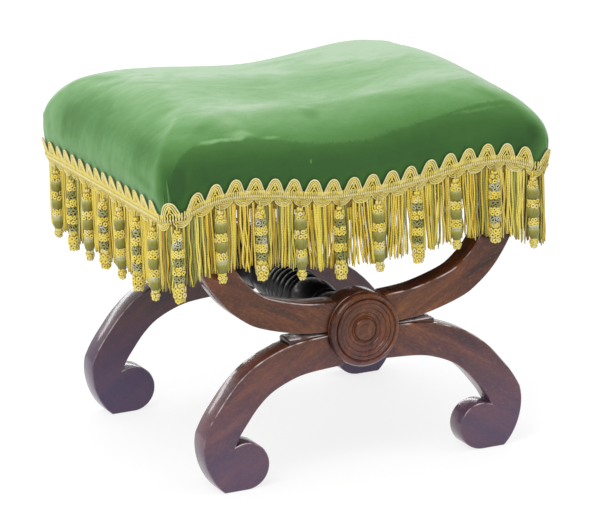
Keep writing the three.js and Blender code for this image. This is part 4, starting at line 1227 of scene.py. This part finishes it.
def web_heights(along, crossings):
    """A strap's underside, which rises over every second strap that it crosses"""
    edge = WEB_WIDTH / 2 + WEB_THICKNESS
    heights = np.zeros(len(along))
    for place in crossings:
        heights = np.maximum(heights, np.clip((edge + WEB_RAMP - np.abs(along - place)) / WEB_RAMP, 0, 1))
    return WEB_BOTTOM + (WEB_RAISED - WEB_BOTTOM) * heights


def strip(along, across, under, thickness, turned=False, **values):
    """A closed strip with some thickness over a grid of places, its underside at the given heights"""
    grid_a, grid_b = np.meshgrid(along, across, indexing="ij")
    flat = np.stack([grid_a.ravel(), grid_b.ravel()], 1)
    if turned:
        flat = np.stack([-flat[:, 1], flat[:, 0]], 1)
    under = np.repeat(under, len(across))
    points = np.concatenate([np.column_stack([flat, under]), np.column_stack([flat, under + thickness])])
    rows, columns = grid_a.shape
    count = rows * columns
    bottom = grid_faces(rows, columns)
    top = shifted(flipped(bottom), count)
    border = grid_border(rows, columns)
    patches = Patches()
    patches.add(points, bottom + top + stitched(border, [count + k for k in border]), **values)
    return patches


def build_webs():
    plans = [("long", index, HALF_LENGTH, place, CROSS_WEBS, 0) for index, place in enumerate(LONG_WEBS)]
    plans += [("cross", index, HALF_DEPTH, place, LONG_WEBS, 1) for index, place in enumerate(CROSS_WEBS)]
    for kind, index, half, place, others, turned in plans:
        crossings = [c for k, c in enumerate(others) if (index + k) % 2 == turned]
        along = np.linspace(-half + WEB_MARGIN, half - WEB_MARGIN, WEB_ROWS)
        across = np.linspace(-1, 1, WEB_COLUMNS) * WEB_WIDTH / 2
        weave = np.stack([np.repeat(along, WEB_COLUMNS), np.tile(across, WEB_ROWS),
                          np.zeros(WEB_ROWS * WEB_COLUMNS)], 1) * MM
        middle = -place if turned else place
        patches = strip(along, across + middle, web_heights(along, crossings), WEB_THICKNESS, turned,
                        weave=np.tile(weave, (2, 1)))
        piece = patches.make(f"{kind}_web_strap_{index + 1}", [WEBBING], SHARP)
        ride(piece, "jute", f"{kind}_web_{index + 1}")


def build_hessian():
    """Open-weave cloth over the webbing"""
    half_x, half_y = HALF_LENGTH - CLOTH_MARGIN, HALF_DEPTH - CLOTH_MARGIN
    along, across = np.linspace(-half_x, half_x, HESSIAN_ROWS), np.linspace(-half_y, half_y, HESSIAN_COLUMNS)
    patches = strip(along, across, np.full(HESSIAN_ROWS, HESSIAN_BOTTOM), CLOTH_THICKNESS)
    piece = patches.make("hessian_cloth", [JUTE])
    ride(piece, "jute", "hessian")


def dust_height(x):
    """The black cloth's upper side: under the long rails, and lower at the end rails"""
    rail_face = HALF_LENGTH - RAIL_THICKNESS
    share = np.clip((np.abs(x) - rail_face + DUST_RAMP) / (DUST_RAMP - GAP), 0, 1)
    return rail_bottom(x) * (1 - share) + RAIL_LOW * share - GAP


def build_dust_cover():
    edge, half_y = HALF_LENGTH - CLOTH_MARGIN, HALF_DEPTH - FRAME_THICKNESS - GAP
    along, across = np.linspace(-edge, edge, DUST_ROWS), np.linspace(-half_y, half_y, DUST_COLUMNS)
    under = dust_height(along) - CLOTH_THICKNESS
    piece = strip(along, across, under, CLOTH_THICKNESS).make("dust_cloth", [LINEN])
    ride(piece, "black_linen", "dust_cover")
    tacks = Patches()
    points, faces = lathe(TACK_PROFILE, TACK_STEPS)
    for side in (-1, 1):
        x = side * (HALF_LENGTH - RAIL_THICKNESS / 2)
        for y in np.arange(-half_y + TACK_MARGIN, half_y, TACK_PITCH):
            tacks.add(points + (x, y, RAIL_LOW - GAP - CLOTH_THICKNESS), flipped(faces))
    ride(tacks.make("dust_cloth_tacks", [EBONISED]), "ebonised_wood")


build_webs()
build_hessian()
build_dust_cover()

# Trim
BRAID_CENTRE = 10
SCALLOPS = 69
SCALLOP_PITCH = RING_LENGTH / SCALLOPS
SCALLOP_OFFSET = -12
# One scallop as cords: half its arch, how far its inner cords lie inside it, its knot, crossing and lobes
ARCH_LINE = ((0, 20.8), (2.6, 20.1), (4.7, 18.3), (6.3, 15.7), (7.6, 12.7), (8.9, 9.6), (10.3, 6.2),
             (11.2, 1))
ARCH_INSETS, ARCH_TONES = (0, 2.1, 4.2), (0.96, 0.84, 0.9)
ARCH_POINTS, ARCH_LEAST = 18, 0.6
KNOB_HEIGHT, KNOB_RADIUS, KNOB_POINTS, KNOB_TONE = 14.6, 1.4, 12, 0.72
CROSSING, CROSSING_TONES = ((-1.1, 12.6), (0.2, 10.6), (1.8, 8.4), (3.6, 5.4)), (0.6, 0.7)
LOBES = ((11, 11.8, 0.94), (8.9, 9.7, 0.76), (6.8, 7.6, 0.92), (4.7, 5.5, 0.78))
LOBE_TOP, LOBE_CORD_POINTS = -2, 15
CORNER_NARROWING = 0.24
CORD_SIDES = 6
BRAID_CORD, BRAID_LIFT, BRAID_WOBBLE = 1.02, 3.0, 0.35
WIDER_SHARE, TONE_SPREAD = 0.03, 0.04
RIB_TONE, RIB_TONE_SPREAD, BEAD_TONE, BEAD_TONE_SPREAD = 0.8, 0.07, 0.93, 0.05
RIB_PITCH, RIB_SPAN, RIB_WOBBLE, RIB_POINTS, RIB_LIFT = 2.35, (-5.5, 7), 0.25, 5, 3.2
BAND_BEAD_SPAN, BAND_BEAD_RADII, BAND_LIFT = (-2.3, 2.3), (0.5, 1.1, 1.3, 1.1, 0.5), 4.3


def trim_place(s, v, lift):
    """Points lifted off the cushion's side, at a height above the braid's middle, and the way out there"""
    x, y, _, _ = ring_place(s, HEM_OUT)
    z = hem_height(x, y) + BRAID_CENTRE + v
    return beside_ring(s, cover_out(x, y, z) + lift, z)


def add_cord(patches, path, normals, radius, tone):
    made, faces, twist = tube(path, radius, CORD_SIDES, normals)
    patches.add(made, faces, twist=twist, tone=tone)


def arch_cord(inset):
    """One cord of the arch; the inmost one leaves out the run that would cross itself under the top"""
    half, direction = spline(ARCH_LINE, ARCH_POINTS)
    half = half + np.stack([direction[:, 1], -direction[:, 0]], 1) * inset
    half[0, 0] = 0
    half = half[np.append(True, half[1:, 0] > ARCH_LEAST)]
    half = half[(half[:, 1] < half[0, 1] + TINY)]
    return np.concatenate([half[::-1] * (-1, 1), half[1:]])


def lobe_cord(width, depth):
    t = math.pi / 2 * np.linspace(-1, 1, LOBE_CORD_POINTS)
    return np.stack([width * np.sin(t), LOBE_TOP - (depth + LOBE_TOP) * np.cos(t)], 1)


def narrowed(side, s):
    """The share of its width that the braid's pattern keeps round a corner, where it lies further out"""
    over = np.abs(s - side.middle) + SCALLOP_PITCH / 2 - side.straight
    return 1 - CORNER_NARROWING * np.clip(over / SCALLOP_PITCH, 0, 1)


def braid_pattern():
    """The cords of one scallop, each with the share of a pitch at which it lies and its tone"""
    cords = [(0, arch_cord(inset), tone) for inset, tone in zip(ARCH_INSETS, ARCH_TONES)]
    cords.append((0, arc(0, KNOB_HEIGHT, KNOB_RADIUS, 0, 2 * math.pi, KNOB_POINTS), KNOB_TONE))
    cords += [(0, np.array(CROSSING) * (hand, 1), tone) for hand, tone in zip((1, -1), CROSSING_TONES)]
    return cords + [(0.5, lobe_cord(width, depth), tone) for width, depth, tone in LOBES]


def build_braid(name, side, rng):
    patches = Patches()
    first, last = side.middle - side.reach, side.middle + side.reach
    begin = math.floor((first - SCALLOP_OFFSET) / SCALLOP_PITCH) - 1
    pattern = braid_pattern()
    for k in range(begin, begin + SCALLOPS):
        along, upward = rng.normal(0, BRAID_WOBBLE, 2)
        for shift, line, tone in pattern:
            middle = SCALLOP_OFFSET + (k + shift) * SCALLOP_PITCH
            if first <= middle < last:
                u, v = line.T
                u = u * narrowed(side, middle) * (1 + WIDER_SHARE * along)
                place = trim_place(middle + u + along, v + upward, BRAID_LIFT)
                add_cord(patches, *place, BRAID_CORD, tone + rng.normal(0, TONE_SPREAD))
    ribs = round((last - first) / RIB_PITCH)
    for k in range(ribs):
        s = np.full(RIB_POINTS, first + (k + 0.5) * (last - first) / ribs)
        rib = trim_place(s, np.linspace(*RIB_SPAN, RIB_POINTS) + rng.normal(0, RIB_WOBBLE), RIB_LIFT)
        add_cord(patches, *rib, BRAID_CORD, RIB_TONE + rng.normal(0, RIB_TONE_SPREAD))
        bead = trim_place(s, np.linspace(*BAND_BEAD_SPAN, RIB_POINTS), BAND_LIFT)
        add_cord(patches, *bead, BAND_BEAD_RADII, BEAD_TONE + rng.normal(0, BEAD_TONE_SPREAD))
    ride(patches.make(f"{name}_braid_cords", [BRAID]), "gold_braid", f"{name}_braid")


# The fringe: two rows of cords that hang from a woven tape; tones by how common they are, lower in the
# hidden row as painted shade
STRAND_PITCH, STRAND_RADIUS, STRAND_LENGTH, STRAND_POINTS = 1.95, 1.22, 75, 13
STRAND_TONES = ((0.64, (0.5, 0.84)), (0.86, (0.0, 0.17)), (1.0, (0.26, 0.44)))
# The hidden row's tones are lower, as painted shade behind the front row
SHADED_HIDDEN_TONES = ((0.5, (0.4, 0.66)), (0.76, (0.0, 0.1)), (1.0, (0.21, 0.34)))
STRAND_TOP, STRAND_OUT = 3.5, 4.7
HIDDEN_TOP, HIDDEN_BACK, HIDDEN_SHORTER = 2.0, 2.4, 2
STRAND_ROOM, MISSING_SHARE = 3.2, 0.16
LEAN, LEAN_CURVE, LEAN_WAVES = 3.4, 1.6, (18, 80)
UNEVEN_LENGTH, LENGTH_WAVES, DRIFT_WAVES = 1.4, (30, 120), 7
LENGTH_SPREAD, SWAY_SPREAD, PLACE_SPREAD, OUT_SPREADS = 1.6, 1.5, 0.35, (0.3, 0.8)
RIPPLES, RIPPLE_TURNS = (0.2, 1.6), (0.8, 2.2)
WIDTH_SHARES, TIP_SHARE = (0.85, 1.1), 0.55
LONGER_CORNER = 7
TAPE_SPAN, TAPE_LIFTS, TAPE_TONE = (-16, -2), (0.3, 1.3), 0.4
# Bead hangers on each side: where one hangs, how far apart they hang, and which kind comes first
HANGERS = {"front": (20, 48.7, 0), "rear": (20, 48.7, 0), "right": (7, 50.3, 1), "left": (7, 50.3, 1)}
HANGER_MARGIN, HANGER_OUT, HANGER_DROP = 6, 9.5, 0.7
HANGER_STRETCH, STRETCH_SPREAD, HANGER_SLIMNESS = 1.03, 0.02, 0.92


def hanger_places(name, side):
    offset, pitch, first_kind = HANGERS[name]
    reach = side.reach - GAP - HANGER_MARGIN
    low, high = math.ceil((-reach - offset) / pitch), math.floor((reach - offset) / pitch)
    return [(offset + k * pitch, (k + first_kind) % 2 == 0) for k in range(low, high + 1)]


def drift(rng, s, amplitude, wavelengths):
    """Smooth wandering along the ring"""
    total = np.zeros(np.shape(s))
    for _ in range(DRIFT_WAVES):
        wavelength = rng.uniform(*wavelengths)
        total += np.sin(2 * math.pi * (s / wavelength + rng.uniform()))
    return total * amplitude / math.sqrt(DRIFT_WAVES)


def add_tape(patches, side, count):
    """The woven heading that the cords hang from, behind the braid's lobes"""
    low, high = TAPE_SPAN
    near, far = TAPE_LIFTS
    s = np.linspace(side.middle - side.reach, side.middle + side.reach, count)
    section = ((high, near), (high, far), (low, far), (low, near))
    rows = [trim_place(s, np.full(count, v), lift)[0] for v, lift in section]
    starts = [k * count for k in range(len(section))]
    ends = [starts, [start + count - 1 for start in starts][::-1]]
    twist = np.stack([np.ones(count), np.zeros(count), s], 1)
    patches.add(np.concatenate(rows), grid_faces(len(section), count, wrap_rows=True) + ends,
                twist=np.tile(twist, (len(section), 1)), tone=TAPE_TONE)


def add_strand(patches, rng, along, behind, lean, longer):
    """One cord from the tape down: it leans, sways and ripples a little and stands off the frame"""
    t = np.linspace(0, 1, STRAND_POINTS)
    top = HIDDEN_TOP if behind else STRAND_TOP
    length = STRAND_LENGTH + top + longer + rng.normal(0, LENGTH_SPREAD) - (HIDDEN_SHORTER if behind else 0)
    sway = lean * t ** LEAN_CURVE + rng.normal(0, SWAY_SPREAD) * t
    ripple = rng.uniform(*RIPPLES) * np.sin(2 * math.pi * (t * rng.uniform(*RIPPLE_TURNS) + rng.uniform()))
    s = along + rng.normal(0, PLACE_SPREAD) + sway + ripple * t ** 0.5
    z = hem_height(*ring_place(np.full(1, along), HEM_OUT)[:2]) + top - length * t
    out = STRAND_OUT - (HIDDEN_BACK if behind else 0)
    out = out + rng.normal(0, OUT_SPREADS[0]) + abs(rng.normal(0, OUT_SPREADS[1])) * t
    radius = STRAND_RADIUS * rng.uniform(*WIDTH_SHARES) * np.ones(STRAND_POINTS)
    radius[-1] *= TIP_SHARE
    kind = rng.uniform()
    tones = next(span for limit, span in (SHADED_HIDDEN_TONES if behind else STRAND_TONES) if kind < limit)
    add_cord(patches, *beside_ring(s, out, z), radius, rng.uniform(*tones))


def build_strands(name, side, rng):
    patches = Patches()
    hangers = np.array([along for along, _ in hanger_places(name, side)])
    count = int(2 * side.reach / STRAND_PITCH)
    alongs = np.linspace(-side.reach, side.reach, count, endpoint=False) + STRAND_PITCH / 2
    leans = drift(rng, alongs, LEAN, LEAN_WAVES)
    longer = drift(rng, alongs, UNEVEN_LENGTH, LENGTH_WAVES)
    full = fullness(*ring_place(side.middle + alongs, HEM_OUT)[:2]) / FULL_CORNER_OUT
    longer = longer + LONGER_CORNER * full
    for behind in (True, False):
        for along, lean, extra in zip(alongs, leans, longer):
            if not behind and (np.abs(hangers - along).min() < STRAND_ROOM or rng.uniform() < MISSING_SHARE):
                continue
            add_strand(patches, rng, side.middle + along, behind, lean, extra)
    add_tape(patches, side, count)
    ride(patches.make(f"{name}_cord_fringe", [FRINGE]), "gold_fringe", f"{name}_fringe")


# Bead hangers, built once round the Z axis, hanging down from zero: turned profiles as radius and height,
# and knots as their top, height, the reach of each row of loops and the loops in a row
BARREL = ((0, 0.5), (4.6, 0.2), (6.6, -1), (7.5, -3.4), (7.8, -6.6), (7.6, -9.6), (6.8, -12.4), (5, -14.6),
          (0, -15))
LAST_BARREL = ((0, 0.5), (4.8, 0.2), (6.7, -1.2), (7.2, -4), (6.9, -7.4), (5.9, -10.6), (4.6, -13),
               (3.6, -13.8), (0, -14))
COLLAR = ((0, 0.2), (5, 0), (6.6, -1), (6.9, -2.6), (6.4, -4), (5, -4.8), (0, -5))
COLLAR_TOP, COLLAR_TONE = -55, 0.86
THREAD = ((0, 5), (0.9, 5), (1.1, 0), (2.2, -1.4), (0, -2.4))
THREAD_TONE, THREAD_STEPS = 0.7, 8
BEAD_STEPS, CORE_STEPS, LOOP_POINTS, LOOP_SIDES = 18, 12, 11, 5
KNOT_CORD, NET_CORD, DROP_CORD = 1.3, 0.8, 1.4
KNOT_TONE, RUFF_TONE, END_TONE, NET_TONES = 0.8, 0.76, 0.84, (0.55, 0.9)
CORE_TONE, NET_CORE_TONE = 0.4, 0.0
CORE_TIPS, CORE_SHARE, CORE_TIP_SHARE = (0.4, 0.6), 0.82, 0.55
LOOP_TURN_SPREAD, LOOP_HEIGHT_SPREAD, LOOP_TILT_SPREAD, LOOP_TONE_SPREAD = 0.07, 0.4, 0.45, 0.08
LOOP_SHARES, LOOP_CORD_SHARES = (0.95, 1.2), (0.85, 1.1)
UPPER_KNOTS, LOW_KNOT = ((-1, 14, (3.8, 5.6, 6.7), 6), (-26, 9.5, (7.5, 8.3), 8)), (-47.5, 9, (6.4, 7), 7)
BARREL_TOPS, LAST_BARREL_TOP = (-12.5, -34), -58.5
END_KNOT = (-71, 11.5, (4.9, 5.9, 4.7), 6)
OPEN_FIRST_KNOT, OPEN_DROP = (-1, 13, (3.8, 5.8, 6.6), 6), (-61, 22.5, (5.9, 7.7, 8, 6.6), 7)
NET_BEADS = tuple((top, 11, (5.7, 6.7, 5.9), 6) for top in (-13, -32, -51))
RUFFS = tuple((top, 9, (7.4, 8), 8) for top in (-23.5, -42.5))
CORD_SLOT, SATIN_SLOT = 0, 1
# Barrel beads: their base tone, then painted light that rises towards the top and a painted highlight at the
# upper edge
BARREL_TONES_AND_LIGHT = (0.24, 0.3, 0.3)
PALE_RIM_SHARES = (0.66, 0.24)


def add_loop(parts, centre, turn, width, height, tilt, cord, tone, slot):
    """A small loop of cord that stands on the hanger's surface"""
    angles = circle(LOOP_POINTS)
    across = np.array([-math.sin(turn), math.cos(turn), 0])
    outward = np.array([math.cos(turn), math.sin(turn), 0])
    upward = np.array([0, 0, 1.0])
    u = across * math.cos(tilt) + upward * math.sin(tilt)
    w = upward * math.cos(tilt) - across * math.sin(tilt)
    path = centre + np.outer(np.cos(angles) * width / 2, u) + np.outer(np.sin(angles) * height / 2, w)
    made, faces, twist = tube(path, cord, LOOP_SIDES, outward, closed=True)
    parts.append((made, faces, slot, twist, tone))


def add_turned(parts, profile, tone, slot, steps=BEAD_STEPS):
    points, faces = lathe(profile, steps)
    turns = np.arctan2(points[:, 1], points[:, 0])
    twist = np.stack([np.cos(turns), np.sin(turns), points[:, 2]], 1)
    parts.append((points, flipped(faces), slot, twist, tone))


def add_knot(parts, rng, knot, tone=KNOT_TONE, cord=KNOT_CORD, slot=CORD_SLOT, core_tone=CORE_TONE):
    """Crocheted cord: rows of small loops round a core"""
    top, height, reaches, loops = knot
    rows = len(reaches)
    levels = [top - height * (row + 0.5) / rows for row in range(rows)]
    tip, edge = CORE_TIPS
    core = [(0, top - tip), (reaches[0] * CORE_TIP_SHARE, top - edge)]
    core += [(reach * CORE_SHARE, level) for reach, level in zip(reaches, levels)]
    core += [(reaches[-1] * CORE_TIP_SHARE, top - height + edge), (0, top - height + tip)]
    add_turned(parts, core, core_tone, slot, CORE_STEPS)
    for row, (reach, level) in enumerate(zip(reaches, levels)):
        reach = reach - cord
        wide = 2 * math.pi * reach / loops - cord
        tall = height / rows - cord
        for k in range(loops):
            turn = 2 * math.pi * (k + 0.5 * (row % 2)) / loops + rng.normal(0, LOOP_TURN_SPREAD)
            centre = np.array([reach * math.cos(turn), reach * math.sin(turn),
                               level + rng.normal(0, LOOP_HEIGHT_SPREAD)])
            add_loop(parts, centre, turn, wide * rng.uniform(*LOOP_SHARES), tall * rng.uniform(*LOOP_SHARES),
                     rng.normal(0, LOOP_TILT_SPREAD), cord * rng.uniform(*LOOP_CORD_SHARES),
                     tone + rng.normal(0, LOOP_TONE_SPREAD), slot)


def add_barrel(parts, top, profile):
    """A silk-wound bead, lighter towards its top and palest at its upper edge, as painted light from above
    """
    heights = np.array([z for _, z in profile])
    share = (heights - heights.min()) / (heights.max() - heights.min())
    base, rise, rim = BARREL_TONES_AND_LIGHT
    start, span = PALE_RIM_SHARES
    tones = base + rise * share + rim * np.clip((share - start) / span, 0, 1)
    shown = np.concatenate([tones[:1], np.repeat(tones[1:-1], BEAD_STEPS), tones[-1:]])
    add_turned(parts, [(r, top + z) for r, z in profile], shown, SATIN_SLOT)


def barrel_hanger(rng):
    """Barrel beads between crocheted knots"""
    parts = []
    add_turned(parts, THREAD, THREAD_TONE, CORD_SLOT, THREAD_STEPS)
    for knot, top in zip(UPPER_KNOTS, BARREL_TOPS):
        add_knot(parts, rng, knot)
        add_barrel(parts, top, BARREL)
    add_knot(parts, rng, LOW_KNOT)
    add_turned(parts, [(r, z + COLLAR_TOP) for r, z in COLLAR], COLLAR_TONE, SATIN_SLOT)
    add_barrel(parts, LAST_BARREL_TOP, LAST_BARREL)
    add_knot(parts, rng, END_KNOT, END_TONE)
    return parts


def openwork_hanger(rng):
    """Open net beads between crocheted ruffs, over a large lobed drop"""
    parts = []
    add_turned(parts, THREAD, THREAD_TONE, CORD_SLOT, THREAD_STEPS)
    add_knot(parts, rng, OPEN_FIRST_KNOT)
    for bead in NET_BEADS:
        add_knot(parts, rng, bead, rng.uniform(*NET_TONES), NET_CORD, SATIN_SLOT, NET_CORE_TONE)
    for ruff in RUFFS:
        add_knot(parts, rng, ruff, RUFF_TONE)
    add_knot(parts, rng, OPEN_DROP, cord=DROP_CORD)
    return parts


def build_hangers(name, side, rng):
    patches = Patches()
    for along, barrel in hanger_places(name, side):
        parts = barrel_hanger(rng) if barrel else openwork_hanger(rng)
        s = np.array([side.middle + along])
        x, y, _, _ = ring_place(s, HANGER_OUT)
        top = hem_height(*ring_place(s, HEM_OUT)[:2]) - HANGER_DROP
        stretch = HANGER_STRETCH * (1 + rng.normal(0, STRETCH_SPREAD))
        turn = rng.uniform(0, 2 * math.pi)
        cos, sin = HANGER_SLIMNESS * math.cos(turn), HANGER_SLIMNESS * math.sin(turn)
        for points, faces, slot, twist, tone in parts:
            px, py, pz = points.T
            turned = np.stack([x + px * cos - py * sin, y + px * sin + py * cos, top + pz * stretch], 1)
            patches.add(turned, faces, slot, twist=twist, tone=tone)
    ride(patches.make(f"{name}_bead_hangers", [FRINGE, SATIN]), "gold_fringe")


BRAID_SEED, STRAND_SEED, HANGER_SEED = 11, 31, 51
for index, (name, side) in enumerate(SIDES.items()):
    build_braid(name, side, np.random.default_rng(BRAID_SEED + index))
    build_strands(name, side, np.random.default_rng(STRAND_SEED + index))
    build_hangers(name, side, np.random.default_rng(HANGER_SEED + index))

# Floor, light and camera, in metres; each lamp has its place, where it aims, its size, watts and tint
FLOOR_HALF, FLOOR_DROP = 9.0, -0.0004
FLOOR_PLAIN, FLOOR_SHADOW, FLOOR_GLOW = 0.8, 0.3, 0.77
WORLD_LEVEL = 0.62
WHITE, DAYLIGHT = (1, 1, 1), (0.78, 0.88, 1)
LAMPS = {
    "key": ((-1.6, -1.5, 2.3), (0, 0, 0.25), (1.6, 1.6), 32, WHITE),
    "top": ((0.3, 0.5, 2.6), (0, 0, 0.3), (2.0, 1.6), 14, WHITE),
    "fill": ((2.2, -1.6, 1.2), (0, 0, 0.25), (1.4, 1.4), 7, WHITE),
    "window": ((-2.6, 0.2, 0.9), (0, 0, 0.25), (1.6, 1.2), 7, DAYLIGHT),
    "back": ((0.3, 2.9, 1.0), (0, 0, 0.17), (3.6, 0.35), 24, WHITE),
}
CLIP_SPAN = (0.1, 60)


def floor_finish():
    """Plain pale floor that looks white where it isn't in shadow"""
    finish = Finish("floor")
    finish.tree.nodes.remove(finish.shader)
    seen = finish.highest(finish.ray("Camera"), finish.ray("Glossy"), finish.ray("Transmission"))
    plain, shadow = (finish.node("ShaderNodeBsdfDiffuse", {"Color": (shade, shade, shade, 1)})
                     for shade in (FLOOR_PLAIN, FLOOR_SHADOW))
    glow = finish.node("ShaderNodeEmission", {"Color": (1, 1, 1, 1), "Strength": FLOOR_GLOW})
    pale = finish.node("ShaderNodeAddShader", {0: shadow, 1: glow})
    mixed = finish.node("ShaderNodeMixShader", {0: seen, 1: plain, 2: pale})
    finish.give(mixed, finish.tree.nodes["Material Output"].inputs["Surface"])
    return finish.material


def build_floor():
    mesh = bpy.data.meshes.new("floor")
    corners = [(FLOOR_HALF * x, FLOOR_HALF * y, FLOOR_DROP) for x, y in ((-1, -1), (1, -1), (1, 1), (-1, 1))]
    mesh.from_pydata(corners, [], [(0, 1, 2, 3)])
    mesh.materials.append(floor_finish())
    floor = placed(bpy.data.objects.new("floor", mesh))


def build_world():
    world = bpy.data.worlds.new("studio")
    bpy.context.scene.world = world
    world.use_nodes = True
    nodes = Nodes(world.node_tree)
    background = nodes.tree.nodes["Background"]
    seen = nodes.highest(nodes.ray("Camera"), nodes.ray("Transmission"))
    background.inputs["Color"].default_value = (1, 1, 1, 1)
    nodes.give(nodes.mapped(seen, (0.0, 1.0), (WORLD_LEVEL, 1.0), "LINEAR"), background.inputs["Strength"])


def add_lamp(name, place, aim, size, watts, tint):
    lamp = bpy.data.lights.new(name, "AREA")
    lamp.shape = "RECTANGLE"
    lamp.size, lamp.size_y = size
    lamp.energy = watts
    lamp.color = tint
    made = placed(bpy.data.objects.new(name, lamp))
    made.location = place
    made.rotation_euler = (Vector(aim) - Vector(place)).to_track_quat("-Z", "Y").to_euler()


def build_camera():
    camera = placed(bpy.data.objects.new("camera", bpy.data.cameras.new("camera")))
    a, e, r = AZIMUTH, ELEVATION, ROLL
    back = Vector((math.sin(a) * math.cos(e), -math.cos(a) * math.cos(e), math.sin(e)))
    right = Vector((math.cos(a), math.sin(a), 0))
    up = back.cross(right)
    rolled_right = right * math.cos(r) + up * math.sin(r)
    rolled_up = up * math.cos(r) - right * math.sin(r)
    place = (Vector(TARGET) + back * DISTANCE) * MM
    turn = Matrix((rolled_right, rolled_up, back)).transposed()
    camera.matrix_world = Matrix.Translation(place) @ turn.to_4x4()
    camera.data.sensor_width = SENSOR
    camera.data.lens = FOCAL_PIXELS * SENSOR / IMAGE_WIDTH
    camera.data.clip_start, camera.data.clip_end = CLIP_SPAN
    camera.data.dof.use_dof = False
    bpy.context.scene.camera = camera


build_floor()
build_world()
for name, lamp_plan in LAMPS.items():
    add_lamp(name, *lamp_plan)
build_camera()
bpy.context.scene.view_settings.view_transform = "Standard"
